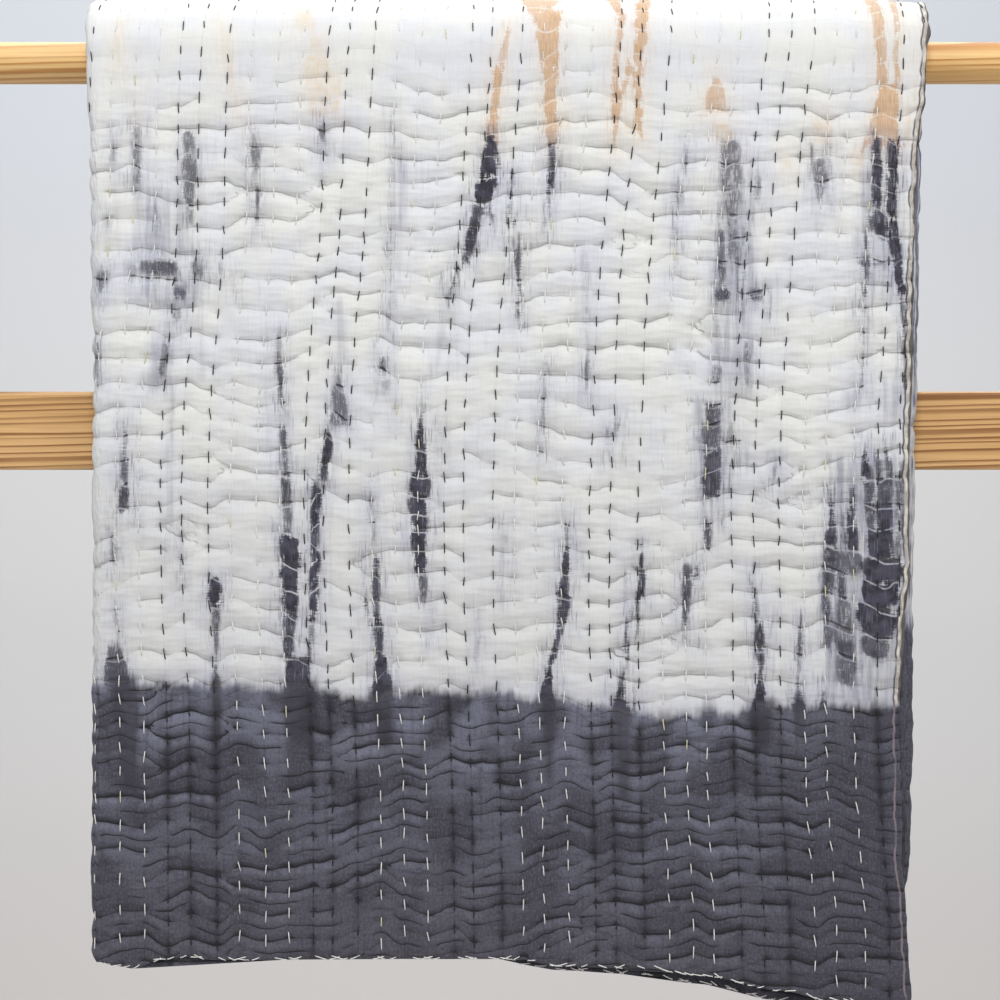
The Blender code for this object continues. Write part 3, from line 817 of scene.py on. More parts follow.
def scattered(parents, count, seed):
    """Short pale marks near the given strokes."""
    chance = np.random.default_rng(seed)
    marks = []
    for _ in range(count):
        parent = parents[chance.integers(len(parents))]
        along = chance.uniform(-0.15, 1.15)
        row = parent.top + (parent.foot - parent.top) * along
        column = parent.x_top + (parent.x_foot - parent.x_top) * along
        column += chance.choice([-1.0, 1.0]) * (parent.w_middle / 2 + chance.exponential(4.0))
        length, width = chance.uniform(8, 30), chance.uniform(1.5, 4.0)
        dark = chance.uniform(0.22, 0.60)
        marks.append(Stroke(row, row + length, column, column, width * 0.5, width, width * 0.4, dark, 0.0))
    return marks


flecks = scattered(STROKES, FLECKS, 61)
print(len(flecks), "flecks")

# %% [markdown]
# Below all that, the cloth was dipped whole. The upper edge of that dark band runs almost level, so a few
# rows of a table are enough. The bumps in it are the feet of the strokes that run into the band.

# %% Upper edge of the dipped band
TIDE_ON_CREASE = 0.20
Tide = namedtuple("Tide", "column row")
TIDES = [Tide(*row) for row in (
    (60, 686), (150, 684), (210, 686), (300, 690), (360, 698), (420, 690), (505, 695), (560, 700),
    (600, 707), (655, 713), (730, 712), (790, 706), (940, 703),
)]
print("the band starts", round(float(reach_at(692)), 3), "m from the ridge")

# %% [markdown]
# ## From strokes to fields
#
# A mask with only "in" or "out" at each point would look jagged. Instead each point stores how far inside
# the nearest stroke it lies. Between points that distance changes evenly, so the material can cut the edge
# sharp or fray it along the threads. This is the same trick that draws sharp letters in games.
#
# Each stroke's width and depth change a little from block to block between two creases, because each pleat
# was tied by itself. Around a stroke the dye left a faint halo.

# %% Work out the fields
FAR = 0.018
HALO_WIDTH = 0.0072
TIED_AT_CREASES = 0.5
END_FEATHER = 0.55


def nearest_crease(x, reach):
    """Reach of the crease nearest to each place, straight above or below it."""
    reach = np.full(len(x), reach)
    return reach - gather_at(x, reach).off


def inside_strokes(rows, x, reach, gather, seed):
    """For each stroke in turn: the points near it and how many metres inside it they lie."""
    for number, row in enumerate(rows):
        top, foot = float(reach_at(row.top)), float(reach_at(row.foot))
        tied = getattr(row, "resist", 0.0)
        x_top, x_foot = float(across(row.x_top)), float(across(row.x_foot))
        wide = max(row.w_top, row.w_middle, row.w_foot) * UNIT + abs(x_top - x_foot) + FAR
        near = (reach > top - FAR) & (reach < foot + FAR) & (np.abs(x - (x_top + x_foot) / 2) < wide)
        near = np.nonzero(near)[0]
        if tied >= TIED_AT_CREASES:
            tall = foot - top > 1.3 * RIDGE_PITCH
            shift = nearest_crease(x[near], top) - top
            foot = nearest_crease(x[near], foot) if tall else foot + shift
            top = top + shift
        t = np.clip((reach[near] - top) / np.maximum(foot - top, 0.001), 0.0, 1.0)
        wander = 0.0009 * value_noise(reach[near] / 0.010, number * 7.3, seed)
        half = np.interp(t, (0.0, 0.5, 1.0), (row.w_top, row.w_middle, row.w_foot)) * UNIT / 2.0
        half = half * (1.0 + 0.24 * value_noise(gather.block[near] * 3.1, number * 1.7, seed + 1))
        swell = np.sin(np.pi * gather.turn[near]) - 0.50 + 0.45 * (0.5 - gather.turn[near])
        half = half * (1.0 + (0.06 + 0.14 * tied) * swell)
        side = half - np.abs(x[near] - x_top - (x_foot - x_top) * t - wander)
        ends = np.minimum(reach[near] - top, foot - reach[near])
        yield row, number, near, np.minimum(side, ends * (END_FEATHER + 0.9 * tied))


def soft_field(rows, x, reach, gather, softness, seed):
    """Amount of a thin dye without an edge."""
    amount = np.zeros(len(x))
    for row, _, near, inside in inside_strokes(rows, x, reach, gather, seed):
        amount[near] = np.maximum(amount[near], row.dark * smooth(0.5 + inside / softness))
    return amount


def edged_field(rows, x, reach, gather, seed):
    """Metres inside the nearest stroke, its depth, the halo round it, and how far creases resist it."""
    inside_all = np.full(len(x), -0.010)
    depth, halo, resist = np.zeros((3, len(x)))
    for row, number, near, inside in inside_strokes(rows, x, reach, gather, seed):
        tone = row.dark * (0.98 + 0.20 * value_noise(gather.block[near] * 2.3, number * 3.9, seed + 2))
        weight = tone * smooth(1.0 + inside / 0.0045)
        depth[near] = np.maximum(depth[near], weight)
        resist[near] = np.maximum(resist[near], getattr(row, "resist", 0.0) * smooth(1.0 + inside / 0.004))
        outside = np.maximum(-inside, 0.0) / HALO_WIDTH
        halo[near] = np.maximum(halo[near], row.dark * np.exp(-(outside**2)))
        inside_all[near] = np.maximum(inside_all[near], inside)
    return inside_all, depth, halo, resist


sheet_gather = gather_at(sheet_x, sheet_reach)
on_front = np.where(sheet_layer < 0.9, sheet_reach, -9.0)
charcoal, depth, halo, resist = edged_field((*STROKES, *flecks), sheet_x, on_front, sheet_gather, 51)
tan_inside, tan_depth, tan_halo, _ = edged_field(TANS, sheet_x, on_front, sheet_gather, 55)
wash = soft_field(WASHES, sheet_x, on_front, sheet_gather, 0.0055, 53)
deep = soft_field(DEEPS, sheet_x, on_front, sheet_gather, 0.0060, 54)
tide_x, tide_reach = across([tide.column for tide in TIDES]), reach_at([tide.row for tide in TIDES])
tide = np.interp(sheet_x, tide_x, tide_reach)
tide -= TIDE_ON_CREASE * gather_at(sheet_x, tide).off
band = sheet_reach - tide
band += 0.0024 * value_noise(sheet_x / 0.013, 0.5, 56) + 0.0012 * value_noise(sheet_x / 0.0045, 3.5, 56)
print("share of points inside a charcoal stroke:", round(float((charcoal > 0).mean()), 3))

# %% [markdown]
# ## The back and the inner layers
#
# The picture shows only the front. The back flap was dipped with the front, so its lower part carries the
# same kind of band and strokes. We draw those with a loop from a seeded generator, longer and fewer, so the
# back looks as if the same hands had dyed it. The rounded fold at the right edge belongs to the next layer,
# and has its own light and dark stretches. The inner layers at the back carry the band too.

# %% Dye on the back flap and on the inner fold
REAR_STROKES, REAR_BAND_ROW, INNER_BAND_ROW, INNER_TAN_ROW = 34, 690, 628, 135
rear = np.nonzero((sheet_reach < -ARCH_REACH) & (sheet_layer < 0.9))[0]
generator = np.random.default_rng(71)
rear_rows = []
for _ in range(REAR_STROKES):
    x_top, top = generator.uniform(105, 900), generator.uniform(190, 560)
    foot = min(top + generator.uniform(60, 260), 700)
    width, dark = generator.uniform(4, 17), generator.uniform(0.6, 1.0)
    x_foot = x_top + generator.uniform(-8, 8)
    rear_rows.append(Stroke(top, foot, x_top, x_foot, width * 0.3, width, width * 0.7, dark, dark - 0.2))
mirrored = -sheet_reach[rear]
rear_gather = Gather(*(values[rear] for values in sheet_gather))
fields = edged_field(rear_rows, sheet_x[rear], mirrored, rear_gather, 57)
charcoal[rear], depth[rear], halo[rear], resist[rear] = fields
band[rear] = mirrored - reach_at(REAR_BAND_ROW) + 0.006 * value_noise(sheet_x[rear] / 0.022, 0.5, 58)

Stretch = namedtuple("Stretch", "row dark")
INNER_STRETCHES = [Stretch(*row) for row in (
    (0, 0.0), (125, 0.05), (142, 0.95), (300, 0.90), (330, 0.75), (395, 0.62), (430, 0.50), (470, 0.55),
    (520, 0.42), (618, 0.55), (632, 1.0), (1010, 1.0),
)]
inner = np.nonzero((sheet_layer >= 0.9) & (sheet_reach > -ARCH_REACH))[0]
stretch_reach = reach_at([stretch.row for stretch in INNER_STRETCHES])
inner_dark = np.interp(sheet_reach[inner], stretch_reach, [stretch.dark for stretch in INNER_STRETCHES])
patchy = 0.42 * value_noise(sheet_reach[inner] / 0.0075, sheet_x[inner] / 0.004, 59)
wash[inner] = np.clip(inner_dark + patchy * (inner_dark > 0.08), 0.0, 1.0)
tan_inside[inner] = np.where(sheet_reach[inner] < reach_at(INNER_TAN_ROW), 0.004, -0.010)
tan_depth[inner] = 0.45
band[inner] = sheet_reach[inner] - reach_at(INNER_BAND_ROW)
inner_rear = np.nonzero((sheet_layer >= 0.9) & (sheet_reach < -ARCH_REACH))[0]
band[inner_rear] = -sheet_reach[inner_rear] - reach_at(REAR_BAND_ROW)
print("rear strokes:", REAR_STROKES)

# %% [markdown]
# ## Storing the fields on the mesh
#
# Named attributes carry one number or one vector for each point, and an Attribute node in the material reads
# them by the same name. Distances are stored in millimetres, so that the numbers in the material are easy to
# read. "cloth" holds each point's place across the cloth, its reach and its layer, and takes the place of a
# UV map. Each layer lies well apart in it, so that no layer shows the noise of another.

# %% Attributes
LAYER_APART = 0.37
to_side = from_table(EDGES, "reach", "outer_hem", sheet_reach) - sheet_x
roll = np.where(sheet_layer < 0.05, (ROLL_WIDTH - to_side) * 1000.0, -20.0)
full_turn = 2.0 * np.pi * sheet_gather.turn
crease_power = sheet_gather.power * (0.08 + 0.92 * slack(sheet_reach))


def store(mesh, name, values):
    """One number or one vector for each point of a mesh."""
    values = np.asarray(values, np.float32)
    kind, key = ("FLOAT", "value") if values.ndim == 1 else ("FLOAT_VECTOR", "vector")
    mesh.attributes.new(name, kind, "POINT").data.foreach_set(key, values.ravel())


FIELDS = {
    "charcoal_mm": charcoal * 1000.0,
    "charcoal_depth": depth,
    "halo": halo,
    "resist": resist,
    "wash": wash,
    "tan_mm": tan_inside * 1000.0,
    "tan_depth": tan_depth,
    "tan_halo": tan_halo,
    "band_mm": np.clip(band * 1000.0, -60.0, 300.0),
    "band_deep": deep,
    "roll_mm": np.clip(roll, -20.0, 20.0),
    "stitch_row": row_number(sheet_x, sheet_reach),
    "cloth": np.stack([sheet_x, sheet_reach, sheet_layer * LAYER_APART], axis=1),
    "crease": np.stack([np.cos(full_turn), np.sin(full_turn), crease_power], axis=1),
}
for name, values in FIELDS.items():
    store(quilt.data, name, values)
print("stored", ", ".join(FIELDS))

# %% [markdown]
# ## Helpers for node trees
#
# Materials are trees of nodes. These helpers add a node or two each and accept either a number or another
# node's output for every input, which keeps the recipes below as short as formulas. We start with numbers,
# which make the masks.

# %% Helpers for numbers and masks


def plug(tree, socket, value):
    """Link an output to a socket, or set the socket to a plain value."""
    if isinstance(value, bpy.types.NodeSocket):
        tree.links.new(value, socket)
    elif value is not None:
        socket.default_value = value


def calc(tree, operation, a, b=None, c=None, clamp=False):
    """A Math node."""
    node = tree.nodes.new("ShaderNodeMath")
    node.operation = operation
    node.use_clamp = clamp
    for socket, value in zip(node.inputs, (a, b, c)):
        plug(tree, socket, value)
    return node.outputs[0]


def times(tree, value, *others, clamp=False):
    """A value times one or more others, in turn."""
    for other in others:
        value = calc(tree, "MULTIPLY", value, other, clamp=clamp)
    return value


def scaled(tree, value, by, plus):
    """A value times a second one, plus a third."""
    return calc(tree, "MULTIPLY_ADD", value, by, plus)


def larger(tree, a, b):
    """The larger of two values."""
    return calc(tree, "MAXIMUM", a, b)


def remap(tree, value, low, high, to_low=0.0, to_high=1.0):
    """A Map Range node with a smooth step, clamped at both ends."""
    node = tree.nodes.new("ShaderNodeMapRange")
    node.interpolation_type = "SMOOTHSTEP"
    plug(tree, node.inputs["Value"], value)
    for name, number in zip(("From Min", "From Max", "To Min", "To Max"), (low, high, to_low, to_high)):
        plug(tree, node.inputs[name], number)
    return node.outputs["Result"]


def fade(tree, value, low, high):
    """A Map Range node that falls from 1 to 0."""
    return remap(tree, value, low, high, 1.0, 0.0)


print("helpers for numbers ready")

# %% [markdown]
# Colours are written as they look on a screen. A colour is built up like coats of dye: each coat is laid over
# what is there already, as strongly as its mask says.

# %% Helpers for colours


def rgb(red, green, blue):
    """A colour given as it looks on a screen, 0 to 255, turned into the light values that shaders use."""
    shown = np.array([red, green, blue]) / 255.0
    linear = np.where(shown <= 0.04045, shown / 12.92, ((shown + 0.055) / 1.055) ** 2.4)
    return (*[float(v) for v in linear], 1.0)


def blend(tree, amount, a, b, mode="MIX"):
    """A Mix node for colours."""
    node = tree.nodes.new("ShaderNodeMix")
    node.data_type = "RGBA"
    node.blend_type = mode
    plug(tree, node.inputs["Factor"], amount)
    plug(tree, node.inputs[6], a)
    plug(tree, node.inputs[7], b)
    return node.outputs[2]


def laid_over(tree, base, *coats):
    """A colour under coats that are laid on in turn. Each coat is an amount and a colour."""
    for amount, colour in coats:
        base = blend(tree, amount, base, colour)
    return base


def darkened(tree, colour, tint):
    """A colour times a grey."""
    grey = tree.nodes.new("ShaderNodeCombineColor")
    for socket in grey.inputs[:3]:
        plug(tree, socket, tint)
    return blend(tree, 1.0, colour, grey.outputs[0], "MULTIPLY")


print("helpers for colours ready; mid grey is", round(rgb(128, 128, 128)[0], 3), "in light")

# %% [markdown]
# Textures are read at a place, given as a vector. Stretching that vector stretches the texture.

# %% Helpers for places and textures


def cloudy(tree, vector, scale, detail=2.0, roughness=0.5):
    """A Noise Texture's value."""
    node = tree.nodes.new("ShaderNodeTexNoise")
    plug(tree, node.inputs["Vector"], vector)
    for name, value in (("Scale", scale), ("Detail", detail), ("Roughness", roughness)):
        plug(tree, node.inputs[name], value)
    return node.outputs["Fac"]


def moved(tree, vector, operation, amounts):
    """A vector multiplied by three numbers, or with three numbers subtracted."""
    node = tree.nodes.new("ShaderNodeVectorMath")
    node.operation = operation
    plug(tree, node.inputs[0], vector)
    node.inputs[1].default_value = amounts
    return node.outputs[0]


def streaky(tree, vector, x, y, z, detail, roughness=0.5):
    """Noise with its own number of cells per metre along each axis, so that it is stretched along one."""
    return cloudy(tree, moved(tree, vector, "MULTIPLY", (x, y, z)), 1.0, detail, roughness)


def parts_of(tree, vector):
    """X, Y and Z of a vector."""
    node = tree.nodes.new("ShaderNodeSeparateXYZ")
    plug(tree, node.inputs[0], vector)
    return node.outputs


def pair(tree, x, y):
    """A vector from an X and a Y."""
    node = tree.nodes.new("ShaderNodeCombineXYZ")
    plug(tree, node.inputs[0], x)
    plug(tree, node.inputs[1], y)
    return node.outputs[0]


def emboss(tree, shader, height, distance):
    """Bump a surface by a height, which the distance turns into metres."""
    node = tree.nodes.new("ShaderNodeBump")
    node.inputs["Strength"].default_value = 1.0
    node.inputs["Distance"].default_value = distance
    plug(tree, node.inputs["Height"], height)
    plug(tree, shader.inputs["Normal"], node.outputs["Normal"])


def field(tree, name, output="Fac"):
    """A named attribute of the mesh."""
    node = tree.nodes.new("ShaderNodeAttribute")
    node.attribute_name = name
    return node.outputs[output]


print("helpers for textures ready")

# %% [markdown]
# A node group is a recipe of its own, with named inputs and outputs. It is built once and used by several
# materials. A new material comes with a Principled BSDF, which holds the finish.

# %% Helpers for groups and materials


def new_group(name, vectors, numbers, results):
    """An empty node group and the sockets of its two ends: vectors and numbers go in, numbers come out."""
    group = bpy.data.node_groups.new(name, "ShaderNodeTree")
    for label in vectors:
        group.interface.new_socket(label, in_out="INPUT", socket_type="NodeSocketVector")
    for label, usual in numbers.items():
        socket = group.interface.new_socket(label, in_out="INPUT", socket_type="NodeSocketFloat")
        socket.default_value = usual
    for label in results:
        group.interface.new_socket(label, in_out="OUTPUT", socket_type="NodeSocketFloat")
    return group, group.nodes.new("NodeGroupInput").outputs, group.nodes.new("NodeGroupOutput").inputs


def use_group(tree, group, **values):
    """Place a group in a material. Underscores in the names stand for spaces."""
    node = tree.nodes.new("ShaderNodeGroup")
    node.node_tree = group
    for label, value in values.items():
        plug(tree, node.inputs[label.replace("_", " ")], value)
    return node.outputs


def new_material(name):
    """A material, its tree and its Principled BSDF."""
    material = bpy.data.materials.new(name)
    material.use_nodes = True
    return material, material.node_tree, material.node_tree.nodes["Principled BSDF"]


print("helpers for groups and materials ready")

# %% [markdown]
# ## Plain weave
#
# Seen close, the cotton is a plain weave of fine threads that swell and thin. Two sine waves, one across and
# one along, multiply into the over-and-under checker of a weave, which is the height for the bump. Two
# stretched noises, one for the threads each way, give a tint for the colour, so that some threads look fuller
# than others. The sewing threads and the cloth both use the group, each with its own thread width.

# %% Weave group
weave_group, given, wanted = new_group("plain_weave", ["Place"], {"Thread Width": 0.0006}, ["Height", "Tint"])
t, place = weave_group, given["Place"]
here = parts_of(t, place)
slub_across = streaky(t, place, 1600.0, 90.0, 40.0, 0.0)
slub_along = streaky(t, place, 90.0, 1600.0, 40.0, 0.0)
half_turn = calc(t, "DIVIDE", math.pi, given["Thread Width"])
wave_x = calc(t, "SINE", times(t, here["X"], half_turn))
wave_y = calc(t, "SINE", times(t, here["Y"], half_turn))
checker = scaled(t, times(t, wave_x, wave_y), 0.25, 0.5)
slubs = calc(t, "ADD", slub_across, slub_along)
plug(t, wanted["Height"], checker)
plug(t, wanted["Tint"], scaled(t, slubs, 0.5, 0.5))
print("weave group has", len(t.nodes), "nodes")

# %% [markdown]
# ## Dye that creeps along the threads
#
# Dye edges fray because liquid runs along single threads. Noise that is stretched along the threads, added
# to the stored distance before it is cut, pulls the edge out into fine hairs. Up-and-down threads carry the
# dye further than level ones, so the noises for hairs and for strands stand upright, one for blots is nearly
# round and only one lies level. The width of the cut sets how soft the edge is. The same noises say which
# threads stayed dry: the thinner the dye, the more of them did. A fifth noise keeps some upright threads
# paler.

# %% Creeping dye group
creep_group, given, wanted = new_group(
    "creeping_dye",
    ["Place"],
    {"Inside": 0.0, "Depth": 1.0, "Hair Length": 1.0, "Softness": 1.0},
    ["Amount", "Halo", "Edge", "Fibres"],
)
t, place = creep_group, given["Place"]
hairs = streaky(t, place, 1300.0, 150.0, 50.0, 2.0, 0.6)
strands = streaky(t, place, 420.0, 60.0, 50.0, 2.0, 0.6)
blots = streaky(t, place, 150.0, 130.0, 50.0, 1.0, 0.6)
level = streaky(t, place, 110.0, 1100.0, 50.0, 2.0, 0.6)
pull = scaled(t, hairs, 9.0, -4.6)
for noise, strength, mean in ((strands, 10.0, -5.1), (blots, 7.0, -3.6), (level, 8.0, -4.1)):
    pull = calc(t, "ADD", pull, scaled(t, noise, strength, mean))
frayed = scaled(t, pull, given["Hair Length"], given["Inside"])
negative = times(t, given["Softness"], -1.0)
cover = times(t, remap(t, frayed, negative, given["Softness"]), given["Depth"])
dry = scaled(t, hairs, 0.34, times(t, level, 0.16))
dry = scaled(t, strands, 0.26, scaled(t, blots, 0.24, dry))
dry = remap(t, dry, 0.40, 0.62, 0.0, 0.88)
taken = remap(t, calc(t, "SUBTRACT", cover, dry), -0.30, 0.34)
upright = streaky(t, place, 1000.0, 46.0, 50.0, 1.0, 0.6)
pale_threads = remap(t, upright, 0.56, 0.74, 1.0, 0.74)
taken = times(t, taken, remap(t, cover, 0.04, 0.30), pale_threads, scaled(t, cover, 0.62, 0.38))
thin_wash = times(t, cover, remap(t, strands, 0.36, 0.66, 0.26, 0.62))
plug(t, wanted["Amount"], larger(t, taken, thin_wash))
wicking = times(t, remap(t, upright, 0.53, 0.66), remap(t, strands, 0.42, 0.60))
level_wicking = times(t, remap(t, level, 0.60, 0.70), 0.45)
plug(t, wanted["Fibres"], larger(t, wicking, level_wicking))
edge = scaled(t, blots, 5.0, scaled(t, strands, 6.0, given["Inside"]))
plug(t, wanted["Edge"], remap(t, calc(t, "SUBTRACT", edge, 5.5), negative, given["Softness"]))
far = times(t, given["Softness"], -5.0)
plug(t, wanted["Halo"], remap(t, frayed, far, given["Softness"]))
print("creep group has", len(t.nodes), "nodes")

# %% [markdown]
# ## Creases too fine for the mesh
# The mesh carries the pillows, but a crease is only a millimetre wide. Each point stores the turn from one
# crease to the next as a direction, because a direction can be blended between points and an angle that
# jumps from full turn back to zero can't. Its angle gives the distance from the crease. There the material
# presses a thin line and paints it a little darker, as painted shade, with a broader painted shade just above
# it. Just below it, a painted highlight lightens the pillow's crown, which faces up.
#
# Half-way between two creases the direction points the other way. A fainter second crease runs there in
# patches and wanders to and fro, as where a pucker forks. It is colour only, a painted shade line with
# painted shade above it, and "Forks" says how much of it shows. Tired cotton also keeps finer wrinkles,
# mostly level, which are painted as thin lines of shade. They are where a stretched noise crosses its middle
# value, which gives thin, wandering lines.

# %% Fine crease group
MM_PER_RADIAN = RIDGE_PITCH * 1000.0 / (2.0 * math.pi)
crease_group, given, wanted = new_group(
    "fine_crease",
    ["Place", "Crease"],
    {"Width": 1.0, "Forks": 1.0},
    ["Line", "Shade", "Crown Highlight", "Wrinkle Shade", "Height", "Away", "Signed"],
)
t, place = crease_group, given["Place"]
turn = parts_of(t, given["Crease"])
angle = calc(t, "ARCTAN2", turn["Y"], turn["X"])
jitter = streaky(t, place, 75.0, 40.0, 50.0, 1.0, 0.6)
shaken = scaled(t, jitter, 2.0, -1.0)
signed = scaled(t, angle, MM_PER_RADIAN, shaken)
away = calc(t, "ABSOLUTE", signed)
patches = streaky(t, place, 34.0, 60.0, 50.0, 1.0)
breaks = remap(t, patches, 0.34, 0.54, 0.38, 1.0)
power = times(t, remap(t, turn["Z"], 0.12, 0.85), breaks)
thin = times(t, given["Width"], 0.25)
line = times(t, remap(t, away, thin, given["Width"], 1.0, 0.0), power)
wide = times(t, given["Width"], 4.2)
broad = times(t, remap(t, away, 0.0, wide, 1.0, 0.0), power)
above = remap(t, signed, -4.6, -0.2)
shade = times(t, above, fade(t, signed, 0.0, 0.9), power)
wander = streaky(t, place, 20.0, 110.0, 30.0, 1.0, 0.5)
wrinkle = remap(t, calc(t, "ABSOLUTE", calc(t, "SUBTRACT", wander, 0.5)), 0.0, 0.020, 1.0, 0.0)
wrinkle = times(t, wrinkle, remap(t, patches, 0.44, 0.60))
back_x, back_y = times(t, turn["X"], -1.0), times(t, turn["Y"], -1.0)
off_middle = scaled(t, calc(t, "ARCTAN2", back_y, back_x), MM_PER_RADIAN, shaken)
off_middle = calc(t, "ADD", off_middle, scaled(t, wander, 5.0, -2.5))
seldom = times(t, remap(t, patches, 0.58, 0.46, 0.05, 1.0), given["Forks"])
second = times(t, remap(t, calc(t, "ABSOLUTE", off_middle), 0.15, 0.75, 1.0, 0.0), seldom)
second_above = remap(t, off_middle, -3.4, -0.2)
second_shade = times(t, second_above, fade(t, off_middle, 0.0, 0.7), seldom)
# The line output is painted shade along the creases and the fainter second creases; the shade output is the
# painted shade just above them.
plug(t, wanted["Line"], larger(t, line, times(t, second, 0.66)))
plug(t, wanted["Shade"], larger(t, shade, times(t, second_shade, 0.55)))
# The wrinkle output is painted shade along fine level wrinkles.
plug(t, wanted["Wrinkle Shade"], wrinkle)
# The crown output is a painted highlight just below each crease, where the pillow faces up to the light.
crown_fall = fade(t, signed, 3.2, 7.8)
crown_highlight = times(t, remap(t, signed, 0.4, 2.4), crown_fall, remap(t, turn["Z"], 0.2, 0.9))
plug(t, wanted["Crown Highlight"], crown_highlight)
plug(t, wanted["Height"], scaled(t, line, -0.24, times(t, broad, -0.42)))
plug(t, wanted["Away"], away)
plug(t, wanted["Signed"], signed)
print("crease group has", len(t.nodes), "nodes")

# %% [markdown]
# ## The dyed cotton
#
# Now the cloth itself. The colour is built in the order in which the cloth was dyed: white cotton, tan, pale
# washes, charcoal strokes with their resist lines, and last the dipped band. We start with the white ground.
# It isn't one white: it is cool where washes passed, warm where the cloth aged, and painted greyer lower down
# the front, as shade.

# %% Cloth: white ground
cloth_material, t, shader = new_material("dyed_quilted_cotton")
place = field(t, "cloth", "Vector")
band_mm = field(t, "band_mm")
forks = remap(t, band_mm, -1.0, 2.0, 0.34, 1.0)
turn = field(t, "crease", "Vector")
creases = use_group(t, crease_group, Place=place, Crease=turn, Width=0.85, Forks=forks)
weave = use_group(t, weave_group, Place=place, Thread_Width=0.00055)
streaks = streaky(t, place, 230.0, 16.0, 30.0, 2.0, 0.6)
clouds = streaky(t, place, 26.0, 20.0, 30.0, 1.0, 0.6)
mottle = streaky(t, place, 130.0, 95.0, 30.0, 2.0, 0.6)
fibres = streaky(t, place, 1500.0, 80.0, 30.0, 1.0, 0.6)
here = parts_of(t, place)
hangs = remap(t, calc(t, "ABSOLUTE", here["Y"]), 0.055, 0.130, 0.22, 1.0)
faint_streaks = times(t, remap(t, streaks, 0.56, 0.78), remap(t, clouds, 0.42, 0.62))
white = laid_over(
    t,
    rgb(235, 236, 232),
    (remap(t, clouds, 0.36, 0.66), rgb(229, 231, 235)),
    (remap(t, mottle, 0.50, 0.85, 0.0, 0.40), rgb(234, 229, 217)),
    (times(t, faint_streaks, 0.22), rgb(176, 181, 202)),
    # Painted shade: the white turns greyer lower down the front flap.
    (remap(t, here["Y"], 0.26, 0.47, 0.0, 0.55), rgb(215, 215, 213)),
)
print("white ground done")

# %% [markdown]
# The tan strokes are browner along their rim, where the dye dried last. A tie kept a line free of dye, on the
# crease or a little below it.

# %% Cloth: tan strokes
tan_depth = field(t, "tan_depth")
tan_soft = scaled(t, tan_depth, -2.6, 3.5)
tan_dye = use_group(
    t,
    creep_group,
    Place=place,
    Inside=field(t, "tan_mm"),
    Depth=tan_depth,
    Hair_Length=0.70,
    Softness=tan_soft,
)
knots = streaky(t, place, 48.0, 30.0, 30.0, 1.0)
tie_off = remap(t, knots, 0.40, 0.62, 0.0, 3.4)
tie_away = calc(t, "ABSOLUTE", calc(t, "SUBTRACT", creases["Signed"], tie_off))
kept_out = times(t, fade(t, tie_away, 0.30, 0.85), remap(t, mottle, 0.28, 0.42))
tan_inner = fade(t, tan_dye["Amount"], 0.58, 0.90)
tan_rim = times(t, remap(t, tan_dye["Amount"], 0.12, 0.40), tan_inner)
tan_tone = laid_over(
    t,
    rgb(220, 188, 155),
    (remap(t, fibres, 0.36, 0.66), rgb(204, 168, 131)),
    (times(t, tan_rim, 0.50), rgb(200, 150, 104)),
    (remap(t, tan_depth, 0.72, 0.48), rgb(233, 212, 180)),
)
tan_amount = times(t, tan_dye["Amount"], scaled(t, kept_out, -0.65, 1.0))
tan_halo = field(t, "tan_halo")
tan_wicked = times(t, tan_halo, tan_dye["Fibres"], 0.50)
colour = laid_over(
    t,
    white,
    (times(t, tan_halo, 0.26), rgb(238, 218, 190)),
    (tan_wicked, rgb(219, 186, 146)),
    (tan_amount, tan_tone),
)
print("tan done")

# %% [markdown]
# Charcoal comes next: first the lilac halo that crept ahead of the stroke, then the stroke itself. Where a
# pleat was tied tight, the line of the tie stays white. Where it wasn't, the dye pooled in the crease.

# %% Cloth: washes and charcoal strokes
wash_amount = times(t, field(t, "wash"), remap(t, streaks, 0.30, 0.66, 0.35, 1.45), clamp=True)
colour = blend(t, wash_amount, colour, rgb(112, 113, 132))
charcoal_mm = field(t, "charcoal_mm")
near_band = remap(t, band_mm, -13.0, -2.0)
charcoal_depth = larger(t, field(t, "charcoal_depth"), near_band)
charcoal_soft = scaled(t, charcoal_depth, -1.7, 3.5)
resist = field(t, "resist")
untied = larger(t, remap(t, resist, 0.10, 0.45, 0.9, 0.0), remap(t, tie_off, 1.0, 2.0, 0.0, 0.8))
pooled = times(t, fade(t, creases["Away"], 0.20, 1.10), untied)
core = remap(t, charcoal_mm, -1.0, 2.6, 0.86, 1.16)
charcoal_cover = times(t, charcoal_depth, calc(t, "ADD", core, pooled))
charcoal_dye = use_group(
    t,
    creep_group,
    Place=place,
    Inside=charcoal_mm,
    Depth=charcoal_cover,
    Hair_Length=0.85,
    Softness=charcoal_soft,
)
halo = field(t, "halo")
halo_amount = times(t, halo, remap(t, streaks, 0.34, 0.72, 0.08, 0.44))
wicked = times(t, remap(t, halo, 0.08, 0.80), charcoal_dye["Fibres"], 0.62)
not_band = fade(t, band_mm, -2.0, 2.0)
resisted = times(t, kept_out, resist, not_band)
left_white = scaled(t, resisted, -0.85, 1.0)
stroke_amount = times(t, charcoal_dye["Amount"], left_white, clamp=True)
stroke_tone = blend(t, remap(t, mottle, 0.36, 0.62), rgb(47, 45, 56), rgb(74, 73, 88))
stroke_tone = blend(t, times(t, pooled, 0.8), stroke_tone, rgb(34, 32, 41))
colour = laid_over(
    t,
    colour,
    (halo_amount, rgb(170, 174, 199)),
    (wicked, rgb(96, 96, 116)),
    (times(t, charcoal_dye["Halo"], 0.14), rgb(142, 144, 166)),
    (stroke_amount, stroke_tone),
)
print("charcoal done")
